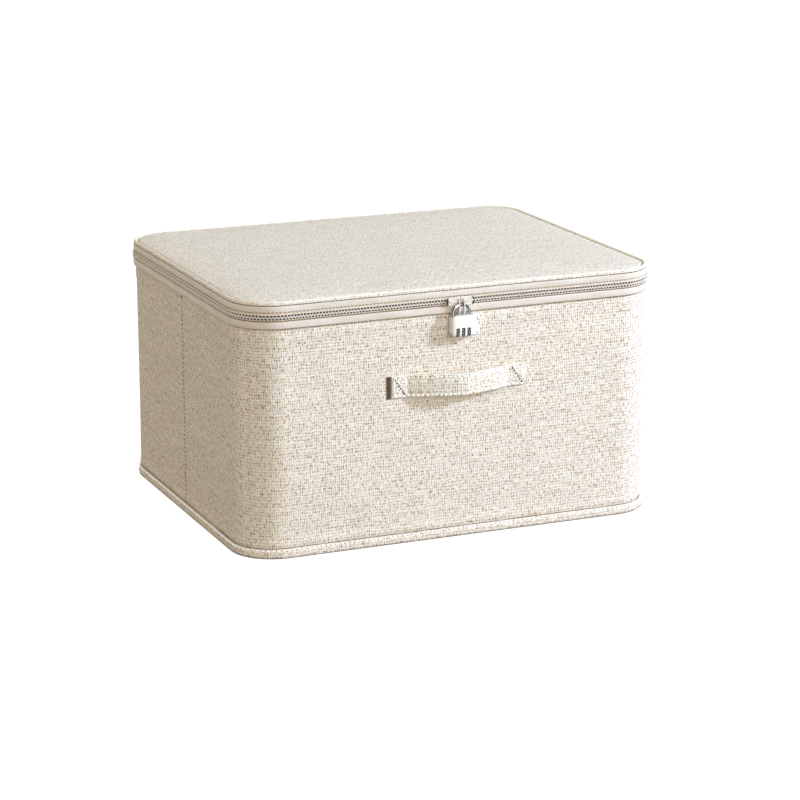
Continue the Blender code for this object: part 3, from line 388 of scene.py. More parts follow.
def woven_linen(name, light, middle, dark, pitch=0.0031, strength=0.45, grid=0.37):
    """Plain-woven slubby linen: yarns cross over and under in two directions, and no two are equally thick.

    Real yarns are about 0.5 mm apart. They are drawn five times as wide, as the thickest ones look in
    the photograph, since finer ones would blur to a flat tone. The eye gets rows of pale bumps with
    tan gaps, short upright and level flecks, and long faint streaks where a yarn is darker or lighter.
    """
    upright_pitch, level_pitch = 0.80 * pitch, 1.12 * pitch
    upright_fleck, level_fleck, fleck_width = 0.0058, 0.0034, pitch / 2.1
    made, tree, shader = material(
        name, Roughness=0.92, Sheen_Weight=0.08, Sheen_Roughness=0.6, Specular_IOR_Level=0.15,
    )
    where = cloth_place(tree)
    drift = add(tree, "TexNoise", {"Vector": where, "Scale": 60.0, "Detail": 3.0})
    centred = {0: drift.outputs["Color"], 1: (0.5, 0.5, 0.5)}
    pushed = add(tree, "VectorMath", centred, operation="SUBTRACT").outputs[0]
    crooked = {0: pushed, 1: (1.7 * pitch,) * 3, 2: where}
    moved = add(tree, "VectorMath", crooked, operation="MULTIPLY_ADD").outputs[0]
    parts = add(tree, "SeparateXYZ", {0: moved})

    def rows(socket, apart):
        turned = math_node(tree, "MULTIPLY", socket, math.pi / apart)
        return math_node(tree, "ABSOLUTE", math_node(tree, "SINE", turned))

    yarn = between(tree, 0.52, rows(parts.outputs[0], upright_pitch), rows(parts.outputs[1], level_pitch))
    thick_up = noise(tree, where, (1 / fleck_width, 1 / upright_fleck, 1), 0.0, 1.0, 0.31, 0.69)
    thick_level = noise(tree, where, (1 / level_fleck, 1 / fleck_width, 1), 7.3, 1.0, 0.31, 0.69)
    height = between(tree, grid, between(tree, 0.64, thick_level, thick_up), yarn)
    ramp = add(tree, "ValToRGB", {"Fac": height})
    stops = ramp.color_ramp.elements
    stops[0].position, stops[0].color = 0.22, linear(dark)
    stops[1].position, stops[1].color = 0.70, linear(light)
    centre = stops.new(0.46)
    centre.color = linear(middle)
    streak_up = noise(tree, where, (1 / 0.0042, 1 / 0.050, 1), 1.9, 2.0)
    streak_level = noise(tree, where, (1 / 0.045, 1 / 0.0040, 1), 5.5, 2.0)
    toned = spread(tree, between(tree, 0.5, streak_up, streak_level), to_low=0.90, to_high=1.05)
    times = {0: 1.0, 6: ramp.outputs[0], 7: toned}
    colour = add(tree, "Mix", times, data_type="RGBA", blend_type="MULTIPLY").outputs[2]
    surface(tree, shader, colour, height, 0.0009, strength)
    return made


def satin_ribbon(name, light, dark):
    """Smooth satin ribbon: fine cross ribs, drawn coarser than real, and a soft sheen."""
    made, tree, shader = material(
        name, Roughness=0.55, Sheen_Weight=0.2, Sheen_Roughness=0.4, Specular_IOR_Level=0.35,
    )
    where = cloth_place(tree)
    ribs = noise(tree, where, (1 / 0.0011, 1 / 0.006, 1), 0.0, 1.0)
    soft = noise(tree, where, (30, 120, 1), 4.2, 2.0)
    tone = between(tree, 0.65, ribs, soft)
    surface(tree, shader, blended(tree, tone, linear(dark), linear(light)), ribs, 0.0002, 0.35)
    return made


def ribbed_tape(name, light, dark):
    """Woven zip tape: ribs across it where the teeth are sewn through."""
    made, tree, shader = material(name, Roughness=0.8, Sheen_Weight=0.1, Specular_IOR_Level=0.25)
    where = cloth_place(tree)
    ribs = noise(tree, where, (1 / 0.0010, 1 / 0.004, 1), 0.0, 1.0, 0.4, 0.6)
    surface(tree, shader, blended(tree, ribs, linear(dark), linear(light)), ribs, 0.0004, 0.6)
    return made


def bonded_cloth(name, light, dark):
    """Non-woven lining: matted fibres, pressed with a grid of small points."""
    made, tree, shader = material(name, Roughness=0.95, Sheen_Weight=0.1, Specular_IOR_Level=0.15)
    where = cloth_place(tree)
    fibres = noise(tree, where, (700, 700, 1), 0.0, 4.0)
    cloud = noise(tree, where, (25, 25, 1), 5.0, 2.0)
    points = add(tree, "TexVoronoi", {"Vector": where, "Scale": 380.0, "Randomness": 0.15})
    pressed = spread(tree, points.outputs["Distance"], 0.1, 0.4)
    tone = math_node(tree, "MULTIPLY", fibres, cloud)
    height = math_node(tree, "ADD", pressed, fibres)
    surface(tree, shader, blended(tree, tone, linear(dark), linear(light)), height, 0.0003, 0.5)
    return made


def sewing_thread(name, light, dark, shine=0.0):
    """Twisted polyester thread: the twist shows as small light and dark spots; shine is for glossy thread."""
    made, tree, shader = material(
        name, Metallic=shine, Roughness=0.5, Sheen_Weight=0.15, Specular_IOR_Level=0.35,
    )
    where = solid_place(tree)
    twist = noise(tree, where, (2200, 2200, 2200), 0.0, 1.0)
    surface(tree, shader, blended(tree, twist, linear(dark), linear(light)), twist, 0.0001, 0.5)
    return made


def moulded_plastic(name, light, dark, roughness=0.42):
    """Moulded plastic with faint flow marks."""
    made, tree, shader = material(name, Roughness=roughness, IOR=1.5)
    where = solid_place(tree)
    flow = noise(tree, where, (300, 300, 300), 0.0, 3.0)
    surface(tree, shader, blended(tree, flow, linear(dark), linear(light)), flow, 0.00008, 0.3)
    return made


def pearl_enamel(name, light, dark):
    """Pearly white lacquer over die-cast zinc: a clear coat with faint ripples below it."""
    made, tree, shader = material(name, Metallic=0.35, IOR=1.5, Coat_Weight=0.6, Coat_Roughness=0.08)
    where = solid_place(tree)
    ripple = noise(tree, where, (420, 420, 420), 0.0, 2.0)
    # Towards the edges the colour turns to the dark one: the pearl's flop on the lock case, and painted shade
    # along the outlines of the sliders and pulls, whose dark colour is far darker.
    pearl_flop_and_edge_shade = add(tree, "LayerWeight", {"Blend": 0.35})
    tint = blended(tree, pearl_flop_and_edge_shade.outputs["Facing"], linear(light), linear(dark))
    speck = noise(tree, where, (1500, 1500, 1500), 2.0, 1.0)
    tree.links.new(spread(tree, speck, to_low=0.26, to_high=0.42), shader.inputs["Roughness"])
    surface(tree, shader, tint, ripple, 0.00005, 0.3)
    return made


def drawn_steel(name, light, dark, roughness=0.28):
    """Drawn steel wire and stamped steel, with faint marks along it."""
    made, tree, shader = material(name, Metallic=1.0)
    where = solid_place(tree)
    marks = noise(tree, where, (900, 900, 120), 0.0, 3.0)
    dull = spread(tree, marks, to_low=roughness * 0.6, to_high=roughness * 1.6)
    tree.links.new(dull, shader.inputs["Roughness"])
    surface(tree, shader, blended(tree, marks, linear(dark), linear(light)), marks, 0.00003, 0.3)
    return made


def plated_steel(name, light, dark):
    """Bright plating on a thin round bar, with a painted reflection: pale along the middle, and painted dark at
    its edges, where a dark studio would be mirrored.
    """
    made, tree, shader = material(name, Metallic=1.0, Roughness=0.12)
    where = solid_place(tree)
    marks = noise(tree, where, (900, 900, 120), 0.0, 3.0)
    # Painted reflection: the base colour turns dark towards the edges, where a dark studio would be mirrored.
    edge = spread(tree, add(tree, "LayerWeight", {"Blend": 0.5}).outputs["Facing"], 0.01, 0.2)
    surface(tree, shader, blended(tree, edge, linear(light), linear(dark)), marks, 0.00003, 0.3)
    return made


def pressed_board(name, light, dark):
    """Grey board pressed from short fibres."""
    made, tree, shader = material(name, Roughness=0.9, Specular_IOR_Level=0.2)
    where = solid_place(tree)
    fibres = noise(tree, where, (500, 160, 500), 0.0, 4.0)
    surface(tree, shader, blended(tree, fibres, linear(dark), linear(light)), fibres, 0.0003, 0.5)
    return made


LINEN = woven_linen("slub_linen", "FCF6ED", "E7DAC8", "92774D")
LINEN_TOP = woven_linen("slub_linen_lid", "F8F3EB", "E9E0D2", "A8926C", strength=0.35)
# A slightly lighter copy of the wall linen for the rim bead: a painted highlight along the rim.
LINEN_BEAD = woven_linen("slub_linen_bead_painted_highlight", "FBF6EC", "EADFCD", "9A8258", 0.0028, 0.6, 0.3)
LINEN_STRAP = woven_linen("slub_linen_strap", "FFFCF4", "EFE4D3", "8A6E42", 0.0031)
SATIN = satin_ribbon("satin_ribbon", "EDE5DC", "DDD1C3")
TAPE = ribbed_tape("woven_zip_tape", "FBF3E8", "E2D4C4")
# The zip's core cord, coloured dark as painted shade between the coil turns.
CORE_AND_SHADE = ribbed_tape("zip_core_painted_shade", "64584C", "3E342A")
COIL = moulded_plastic("moulded_zip_coil", "FFF8F0", "F3E9DF", 0.38)
# Near-white piping colour: a painted highlight along the rim.
PIPING_HIGHLIGHT = sewing_thread("piping_painted_highlight", "FFFFFB", "F3EDE3")
LINING = bonded_cloth("bonded_lining", "E6DECF", "C9BDA8")
WHITE_THREAD = sewing_thread("white_sewing_thread", "FFFCF6", "E9E0D4")
# Brown used as painted shade: the hem crease, the contact shadow at the bottom, the needle holes along the band
# edges and the tacks at the strap's end.
BROWN_SHADE_THREAD = sewing_thread("brown_thread_painted_shade", "7E5F3A", "4C351C")
GLOSSY_THREAD = sewing_thread("glossy_white_thread", "FFFFFF", "F4F0EA", 0.55)
# Dark brown: the side seams' stitches, and painted shade on the strap's second diagonals and under the band at
# the side seams.
DARK_THREAD_AND_SHADE = sewing_thread("dark_brown_thread_and_shade", "6B4F2E", "3F2C18")
# Near-black cloth that stands for shade: the patch at the strap's left end and the mouths of the sliders.
NEAR_BLACK_SHADE = sewing_thread("near_black_painted_shade", "33261A", "1C140C")
# Golden brown that stands for the shadow in the crease above the lower band.
FOLD_SHADE_BROWN = sewing_thread("fold_shade_brown", "A07A44", "7A5A2E")
ENAMEL = pearl_enamel("pearl_enamel_on_zinc", "FBF8F5", "E4E0E4")
# The dark edge colour of the sliders and pulls is painted shade along their outlines.
LACQUER = pearl_enamel("ivory_lacquer_on_zinc", "F1EBE4", "A89C92")
# Pale middle and near-black edges: a painted reflection of a dark studio on the bright plating.
CHROME = plated_steel("polished_plated_steel", "D8DCE4", "0E121C")
STEEL = drawn_steel("drawn_spring_steel", "8D8F93", "55575C")
DIAL = moulded_plastic("moulded_dial_plastic", "1A1E2B", "0C0E15", 0.35)
FIGURES = moulded_plastic("printed_figures", "F4F4F0", "E2E2DC", 0.5)
SHEET = moulded_plastic("extruded_sheet_plastic", "E9E6DF", "DAD6CD", 0.5)
BOARD = pressed_board("pressed_fibre_board", "B7A58C", "93806A")


def dress(obj, made, body, slot, *replaced):
    """Gives a piece its material and its body, and hides the nodes that it stands for; the slot argument is not
    used.
    """
    obj.data.materials.append(made)
    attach(obj, body)
    if replaced:
        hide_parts(*replaced)
    return obj


def restyle(made, *names):
    """Another material on a node of the frame, whose shape stays as it is."""
    for name in names:
        node = nodes[name]
        for index in range(max(1, len(node.material_slots))):
            if node.material_slots:
                node.material_slots[index].material = made
            else:
                node.data.materials.append(made)


# Unevenness of stretched cloth

WAVES = []
chance = random.Random(5)
for cycles in (9, 13, 18, 24, 31, 40):
    for _ in range(2):
        upright, phase, other = chance.uniform(8, 26), chance.uniform(0, 6.28), chance.uniform(0, 6.28)
        WAVES.append((cycles, upright, phase, other, 1 / cycles ** 0.5))
WAVE_TOTAL = sum(w[4] for w in WAVES)


def unevenness(along, height):
    """Smooth random lift between about -1 and 1, the same at both ends of the outline."""
    total = np.zeros(np.broadcast(along, height).shape)
    turn = 2 * math.pi * along / PERIMETER
    for cycles, upright, phase, other, size in WAVES:
        total = total + size * np.sin(cycles * turn + phase) * np.sin(upright * height * 2.2 + other)
    return total / WAVE_TOTAL * 2.2


def hump(value, centre, width):
    """A smooth bump of height 1."""
    return np.exp(-((value - centre) / width) ** 2)


def cover_lift(along, height):
    """How far the cover's face stands off its flat place: swollen over the hem and under the band."""
    lift = 0.00055 * unevenness(along, height)
    lift = lift + 0.0009 * hump(height, 0.0155, 0.0036)
    lift = lift - 0.0006 * hump(height, 0.0110, 0.0016)
    lift = lift + 0.0006 * hump(height, 0.2490, 0.0060) * (1 + 0.5 * np.sin(along * 2 * math.pi / 0.0217))
    return lift - 0.0005 * hump(height, 0.2562, 0.0020)


def seam_dip(along):
    """Valley of the upright seams at mid-depth of the sides, with a ridge towards the front."""
    lift = np.zeros_like(along)
    for seam, ahead in ((SIDE_SEAM, -1), (-SIDE_SEAM, 1), (PERIMETER - SIDE_SEAM, 1)):
        away = (along - seam) * ahead
        lift = lift - 0.0011 * hump(away, 0.0, 0.0016) + 0.0008 * hump(away, 0.0048, 0.0026)
    return lift


def corner_crease(along):
    """Upright crease in each front corner, where the folded cover was pressed flat in its packing."""
    lift = np.zeros_like(along)
    for corner in (STRAIGHT_X / 2 + 0.62 * QUARTER, PERIMETER - STRAIGHT_X / 2 - 0.62 * QUARTER):
        away = np.mod(along, PERIMETER) - corner
        lift = lift - 0.0012 * hump(away, 0.0, 0.0024)
    return lift


def cover_warp(along, outset, height):
    """The outer face below the fold takes all of the unevenness; the rest of the section stays."""
    outer = (outset > -0.0005) & (height < 0.2651)
    lift = np.clip(cover_lift(along, height) + seam_dip(along) + corner_crease(along), -0.0012, 0.0016)
    return np.where(outer, outset + lift, outset), height


def cover(name, span):
    """Linen wall cover: outer face, and a fold over the top of the wall."""
    foot, head = np.linspace(0.0004, 0.0200, 14), np.linspace(0.2430, 0.2648, 12)
    outer = [(0.0, z) for z in np.concatenate([foot, np.linspace(0.0250, 0.2400, 44), head])]
    fold = [
        (-0.0002, 0.26555), (-0.0008, 0.26575), (-0.0052, 0.26575), (-0.0052, 0.26548), (COVER_IN, 0.26542),
    ]
    inner = [(COVER_IN, z) for z in np.linspace(0.2600, 0.0004, 12)]
    return strip(name, outer + fold + inner, span, 0.0028, cover_warp, sharp=60)


SEAM_GAP = 0.00035
front_cover = cover("front_cloth_cover", (-SIDE_SEAM + SEAM_GAP, SIDE_SEAM - SEAM_GAP))
dress(front_cover, LINEN, "box", "linen", "front_cover")
rear_cover = cover("rear_cloth_cover", (SIDE_SEAM + SEAM_GAP, PERIMETER - SIDE_SEAM - SEAM_GAP))
dress(rear_cover, LINEN, "box", "linen", "rear_cover")


# Upright stitching of the side seams

def seam_stitches():
    """Dark stitches down both side seams; close together just under the band, where they paint a dark spot of
    shade.
    """
    heights = list(np.arange(0.0170, 0.2500, 0.0050)) + [0.2520, 0.2532, 0.2544, 0.2554]
    centres, ahead, up = [], [], []
    for seam, side in ((SIDE_SEAM, 1), (-SIDE_SEAM, -1)):
        x, y, nx, ny = (float(v[0]) for v in plan([seam - side * 0.0011]))
        for z in heights:
            centres.append((x + nx * -0.0001, y, z))
            ahead.append((0, 0, 1))
            up.append((nx, ny, 0))
    return copies("side_seam_stitches", *stitch_shape(0.0027, 0.00085), centres, ahead, up)


side_stitches = dress(seam_stitches(), DARK_THREAD_AND_SHADE, "box", "linen")

# Bottom cloth and hem

base_cloth = dish("bottom_cloth", [
    (0.2, -0.0019, 0.0014), (0.6, -0.0019, 0.0014), (0.9, -0.0019, 0.0014), (1.0, -0.0021, 0.0013),
    (1.0, -0.0019, 0.0010), (1.0, -0.0019, 0.0004), (1.0, -0.0023, 0.0001),
    (0.9, -0.0019, 0.0001), (0.6, -0.0019, 0.0001), (0.2, -0.0019, 0.0001),
], 0.006)
dress(base_cloth, LINEN, "box", "linen", "base_cover")


def hem_warp(along, outset, height):
    outer = outset > 0.0011
    ripple = 0.00022 * np.sin(along * 2 * math.pi / 0.0143 + 1.5 * np.sin(along * 9))
    ripple = ripple + 0.00025 * unevenness(along, height * 3)
    return np.where(outer, outset + ripple, outset), height


hem = strip("folded_hem", [
    (0.0003, 0.0001), (0.0012, 0.0001), (0.0021, 0.0004), (0.0026, 0.0012), (0.0028, 0.0030),
    (0.0027, 0.0052), (0.0025, 0.0070), (0.0021, 0.0081), (0.0015, 0.0088), (0.0014, 0.0094),
    (0.0016, 0.0100), (0.0012, HEM_TOP), (0.0003, HEM_TOP),
], None, 0.0029, hem_warp)
dress(hem, LINEN, "box", "linen", "bottom_hem")
hem_stitches = round_row("hem_stitches", 0.0090, 0.0021, 0.0057, 0.0046, 0.00072, up_tilt=0.35)
dress(hem_stitches, GLOSSY_THREAD, "box", "linen")


# Brown cords as painted shade: in the crease over the hem, and a contact shadow along the bottom seam

hem_crease = strip("hem_crease_shade_cord", [
    (-0.0012, 0.0106), (0.0000, 0.0106), (0.0003, 0.0108), (0.0002, 0.0111), (-0.0012, 0.0112),
])
dress(hem_crease, BROWN_SHADE_THREAD, "box", "linen")
bottom_shade_cord = strip("bottom_contact_shade_cord", [
    (0.0018, 0.0000), (0.0024, 0.0001), (0.0028, 0.0006), (0.0026, 0.0011), (0.0020, 0.0010),
])
dress(bottom_shade_cord, BROWN_SHADE_THREAD, "box", "linen")


# Satin bands and their stitching

def band_profile(low, high, proud):
    """Section of a band: its two edges turned in, and its middle a little crowned."""
    return along_line([
        (0.0014, low + 0.0001), (proud - 0.0009, low), (proud - 0.0003, low + 0.0004), (proud, low + 0.0011),
        (proud + 0.0002, (low + high) / 2), (proud, high - 0.0011), (proud - 0.0003, high - 0.0004),
        (proud - 0.0009, high), (0.0014, high - 0.0001),
    ], 22)


def band_warp(along, outset, height):
    outer = outset > 0.0020
    ripple = 0.00010 * unevenness(along * 3, height * 4) + 0.00008 * np.sin(along * 2 * math.pi / 0.0043)
    return np.where(outer, outset + ripple, outset), height


lower_band = strip("lower_satin_band", band_profile(*LOWER_BAND, 0.0032), None, 0.0022, band_warp)
dress(lower_band, SATIN, "box", "satin_band", "lower_band")
upper_band = strip("upper_satin_band", band_profile(*UPPER_BAND, 0.0028), None, 0.0022, band_warp)
dress(upper_band, SATIN, "lid", "satin_band", "upper_band")
# Real stitches along the band edges, coloured brown as painted shade in their needle holes and puckers.
lower_edge = round_row("lower_band_edge_stitches", 0.2577, 0.0019, 0.0043, 0.0026, 0.00032)
dress(lower_edge, BROWN_SHADE_THREAD, "box", "satin_band")
upper_edge = round_row("upper_band_edge_stitches", 0.2835, 0.0020, 0.0043, 0.0026, 0.00032)
dress(upper_edge, BROWN_SHADE_THREAD, "lid", "satin_band")
upper_foot = round_row("upper_band_foot_stitches", 0.2762, 0.00268, 0.0043, 0.0024, 0.00026)
dress(upper_foot, BROWN_SHADE_THREAD, "lid", "satin_band")


# Zip: tapes with a raised cord edge, cores and teeth

ZIP_SPAN = (-ZIP_END, ZIP_END)


def tape_profile(sign):
    """Section of one zip tape; sign is 1 above the parting and -1 below it."""
    points = [
        (0.0003, 0.0008), (0.0010, 0.0008), (0.0010, 0.0024), (0.0028, 0.00245), (0.0035, 0.0027),
        (0.0037, 0.0030), (0.0034, 0.0034), (0.0024, 0.00365), (0.0010, 0.0037), (0.0009, 0.0098),
        (0.0003, 0.0098),
    ]
    return [(outset, PARTING + sign * away) for outset, away in points]


upper_tape = strip("upper_zip_cloth_tape", tape_profile(1), ZIP_SPAN)
dress(upper_tape, TAPE, "lid", "zip_tape", "upper_zip_tape")
lower_tape = strip("lower_zip_cloth_tape", tape_profile(-1), ZIP_SPAN)
dress(lower_tape, TAPE, "box", "zip_tape", "lower_zip_tape")


def core_profile(sign):
    """Section of the cord that the coil is wound round, seen between the teeth; its dark colour is painted
    shade between the coil turns.
    """
    points = [(0.0011, 0.0008), (0.0030, 0.0008), (0.0034, 0.0012), (0.0034, 0.0021), (0.0011, 0.0023)]
    return [(outset, PARTING + sign * away) for outset, away in points]


dress(strip("upper_zip_core", core_profile(1), ZIP_SPAN), CORE_AND_SHADE, "lid", "zip_tape")
dress(strip("lower_zip_core", core_profile(-1), ZIP_SPAN), CORE_AND_SHADE, "box", "zip_tape")


def tooth_shape(sign):
    """One coil turn seen from outside: a wide head at the parting and a thin leg."""
    head, leg = 0.00160, 0.00040
    flat = [
        (-head, 0.00008), (head, 0.00008), (head, 0.00066), (leg, 0.00085),
        (leg, 0.00260), (-leg, 0.00260), (-leg, 0.00085), (-head, 0.00066),
    ]
    middle = 0.0012
    rings = [(0.0013, 1.0), (0.0035, 1.0), (0.0040, 0.84), (0.0041, 0.6)]
    shape = []
    for outset, shrink in rings:
        for u, v in flat:
            shape.append((u * shrink, sign * (middle + (v - middle) * (shrink + 1) / 2), outset))
    return shape, tube_faces(len(flat), len(rings) - 1)


def teeth(name, sign, phase):
    """A row of teeth, moved along by a share of their pitch so that both halves mesh."""
    count = int(2 * ZIP_END / TOOTH_PITCH) - 1
    where = (np.arange(count) - (count - 1) / 2 + phase) * TOOTH_PITCH
    x, y, nx, ny = plan(where)
    level = np.zeros_like(x)
    centres = np.stack([x, y, level + PARTING], axis=-1)
    out = np.stack([nx, ny, level], axis=-1)
    ahead = np.stack([-ny, nx, level], axis=-1)
    return copies(name, *tooth_shape(-sign), centres, ahead, out, 35)


dress(teeth("upper_coil_teeth", 1, 0.25), COIL, "lid", "zip_plastic", "upper_zip_teeth")
dress(teeth("lower_coil_teeth", -1, -0.25), COIL, "box", "zip_plastic", "lower_zip_teeth")

# Brown cord in the fold between the lower tape and its band: painted shade of the crease there

fold_shade_cord = strip("lower_fold_shade_cord", [
    (0.0011, 0.2660), (0.0024, 0.2661), (0.0030, 0.2666), (0.0028, 0.2672), (0.0011, 0.2674),
], ZIP_SPAN)
dress(fold_shade_cord, FOLD_SHADE_BROWN, "box", "zip_tape")

# Painted shade in the mouths of the sliders: a near-black stub at each end where the coil enters

for body, side in (("left_slider", -1), ("right_slider", 1)):
    centre = (side * 0.0156, FRONT - 0.0062, PARTING)
    mouth_shade = copies(body + "_mouth", *stitch_shape(0.0088, 0.0010, 8), [centre], [(0, 0, 1)], [(side, 0, 0)])
    dress(mouth_shade, NEAR_BLACK_SHADE, body, "zip_plastic")

# Rear hinge cloth, one piece over the parting between the ends of the zip

hinge_section = [
    (0.0003, 0.2595), (0.0009, 0.2595), (0.0009, 0.2660), (0.0018, 0.2672), (0.0023, 0.2684),
    (0.0021, 0.2700), (0.0019, 0.2708), (0.0021, 0.2716), (0.0023, 0.2732), (0.0018, 0.2744),
    (0.0009, 0.2756), (0.0009, 0.2806), (0.0003, 0.2806), (0.0003, 0.2756), (0.0010, 0.2742),
    (0.0013, 0.2708), (0.0010, 0.2674), (0.0003, 0.2660),
]
hinge_half = ZIP_END_X - 0.0004
hinge_span = (PERIMETER / 2 - hinge_half, PERIMETER / 2 + hinge_half)
hinge_cloth = strip("rear_hinge_cloth", hinge_section, hinge_span)
hinge_cloth.data.materials.append(LINEN)
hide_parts("lower_hinge_strip", "upper_hinge_strip")
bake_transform(hinge_cloth)


# Lid: padded top, bead on its rim, and lining below

def edge_distance(x, y, inset):
    """Distance in from a rounded rectangle that is inset from the outline."""
    radius = RADIUS - inset
    qx = np.abs(x) - (WIDTH / 2 - inset - radius)
    qy = np.abs(y) - (DEPTH / 2 - inset - radius)
    outside = np.hypot(np.maximum(qx, 0), np.maximum(qy, 0)) + np.minimum(np.maximum(qx, qy), 0)
    return radius - outside


def lid_lift(x, y, height):
    """Crown of the padding, with small puckers along the bead and broad soft hollows."""
    if height < 0.285:
        return 0.0
    away = np.clip(edge_distance(x, y, 0.0037), 0, None)
    broad = 0.0027 * np.sin(math.pi / 2 * np.clip(away / 0.080, 0, 1))
    near_rim = 0.0014 * (1 - np.exp(-away / 0.008))
    angle = np.arctan2(y / DEPTH, x / WIDTH)
    pucker = np.sin(angle * 88 + 2 * np.sin(angle * 9)) + 0.6 * np.sin(angle * 139 + 1.3)
    pull = np.clip(away / 0.004, 0, 1) * np.exp(-away / 0.013)
    soft = np.sin(x * 31 + 1.1) * np.sin(y * 27 + 0.4) + 0.5 * np.sin(x * 57 - y * 23)
    hollows = 0.00022 * soft * np.clip(away / 0.06, 0, 1)
    return broad + near_rim + 0.00022 * pucker * pull + hollows


top_shares = [
    0.03, 0.1, 0.2, 0.3, 0.4, 0.5, 0.6, 0.7, 0.76, 0.81, 0.85, 0.88, 0.905, 0.925, 0.94, 0.953, 0.964,
    0.973, 0.98, 0.986, 0.991, 0.996,
]
lid_rings = [(share, -0.0037, 0.2864) for share in top_shares] + [
    (1.0, -0.0037, 0.2862), (1.0, -0.0036, 0.2847), (1.0, -0.0040, 0.2836), (1.0, -0.0046, 0.2834),
    (1.0, -0.0046, 0.2804), (0.95, -0.0046, 0.2804), (0.6, -0.0046, 0.2804), (0.2, -0.0046, 0.2804),
]
lid_top = dish("padded_lid_top", lid_rings, 0.0032, lid_lift, 70)
dress(lid_top, LINEN_TOP, "lid", "linen", "lid_top_panel", "lid_foam")


def bead_warp(along, outset, height):
    ripple = 0.00016 * np.sin(along * 2 * math.pi / 0.0086 + 2 * np.sin(along * 11))
    ripple = ripple + 0.00012 * unevenness(along * 2, height)
    ripple = np.where(height > 0.2840, ripple, 0)
    return outset + ripple, height + ripple * 0.5


bead_section = [
    (-0.0036, 0.2834), (0.0012, 0.2834), (0.0020, 0.2837), (0.0025, 0.2843), (0.0026, 0.2850),
    (0.0024, 0.2857), (0.0020, 0.2860), (0.0013, 0.2864), (0.0005, 0.2865), (-0.0003, 0.2865),
    (-0.0010, 0.2863), (-0.0016, 0.2859), (-0.0021, 0.2854), (-0.0026, 0.2849), (-0.0031, 0.2844),
    (-0.0035, 0.2840),
]
bead = strip("rim_bead", bead_section, None, 0.0024, bead_warp, sharp=80)
dress(bead, LINEN_BEAD, "lid", "linen", "lid_bead")
# A near-white cord along the crest of the rim; its whiteness is a painted highlight of the rim's bright edge.
piping_angles = np.linspace(0, 2 * math.pi, 9)[:-1]
piping_section = [(0.0003 + 0.0010 * math.cos(a), 0.2868 + 0.0009 * math.sin(a)) for a in piping_angles]
dress(strip("rim_piping", piping_section, sharp=80), PIPING_HIGHLIGHT, "lid", "linen")
rim_stitches = round_row("rim_inner_stitches", 0.2869, -0.0064, 0.0062, 0.0024, 0.00040, up_tilt=1.45)
dress(rim_stitches, WHITE_THREAD, "lid", "linen")

lid_lining = dish("lid_lining_cloth", [
    (0.2, -0.0023, 0.2772), (0.6, -0.0023, 0.2772), (0.9, -0.0023, 0.2772), (0.985, -0.0023, 0.2772),
    (1.0, -0.0025, 0.2771), (1.0, -0.0023, 0.2768), (1.0, -0.0025, 0.2766), (0.985, -0.0023, 0.2765),
    (0.9, -0.0023, 0.2765), (0.6, -0.0023, 0.2765), (0.2, -0.0023, 0.2765),
], 0.006)
dress(lid_lining, LINING, "lid", "lining_cloth", "lid_lining")
lid_lining_stitches = round_row(
    "lid_lining_stitches", 0.27652, -0.0050, 0.0060, 0.0042, 0.00032, up_tilt=-math.pi / 2,
)
dress(lid_lining_stitches, WHITE_THREAD, "lid", "lining_cloth")

# Lining of the box: a tray of soft cloth

floor_rings = [(share, -0.0055, 0.0058) for share in (0.15, 0.4, 0.65, 0.82, 0.92, 0.965, 0.985)]
wall_heights = [
    0.0064, 0.0090, 0.0140, 0.0300, 0.0600, 0.1000, 0.1400, 0.1800, 0.2200, 0.2450, 0.2600, 0.2652,
]
wall_rings = [(1.0, -0.0062, 0.0059)] + [(1.0, -0.0056, z) for z in wall_heights]
outside_rings = [
    (1.0, -0.0050, 0.2653), (1.0, -0.0048, 0.2600), (1.0, -0.0048, 0.1000), (1.0, -0.0048, 0.0056),
    (1.0, -0.0052, 0.0051), (0.9, -0.0048, 0.0051), (0.5, -0.0048, 0.0051), (0.15, -0.0048, 0.0051),
]
lining = dish("lining_tray", floor_rings + wall_rings + outside_rings, 0.006)
dress(lining, LINING, "box", "lining_cloth", "lining")


# Handle strap, folded from two layers of linen and sewn down at both ends

ROW = 0.0100
INNER_END, OUTER_END = HANDLE_HALF - HANDLE_PAD + 0.0012, HANDLE_HALF - 0.0025


def strap_profile():
    """Section of the strap: soft edges, pressed in along the two rows of stitches."""
    inner, outer = 0.0001, 0.0029
    half = HANDLE_HALF_HEIGHT
    face = [
        (outer - 0.0008, half - 0.0002), (outer - 0.0001, half - 0.0009), (outer, half - 0.0017),
        (outer - 0.0005, ROW), (outer, ROW - 0.0014), (outer + 0.0002, 0.0045), (outer + 0.0002, 0.0),
    ]
    front = face + [(o, -z) for o, z in reversed(face[:-1])]
    back = [
        (inner + 0.0005, -half + 0.0001), (inner, -half + 0.0008), (inner, -0.004), (inner, 0.004),
        (inner, half - 0.0008), (inner + 0.0005, half - 0.0001),
    ]
    return [(o, HANDLE_Z + z) for o, z in front + back]


def strap_warp(along, outset, height):
    """Soft waves in the free part, grooves under the cross rows of stitches, and thinner ends."""
    outer = outset > 0.0018
    pad = np.clip((np.abs(along) - (HANDLE_HALF - HANDLE_PAD)) / 0.002, 0, 1)
    crossing = hump(np.abs(along), OUTER_END, 0.0008) + hump(np.abs(along), INNER_END, 0.0008)
    short_wave = 0.00015 * np.sin(along * 2 * math.pi / 0.0127) * (1 - pad)
    long_wave = 0.0001 * np.sin(along * 2 * math.pi / 0.041 + height * 150)
    end = np.clip((HANDLE_HALF - np.abs(along)) / 0.0008, 0, 1)
    lifted = outset + short_wave + long_wave - 0.0005 * crossing
    squeezed = 0.0006 + (lifted - 0.0006) * (0.72 + 0.28 * np.sqrt(end))
    return np.where(outer, squeezed, outset), height


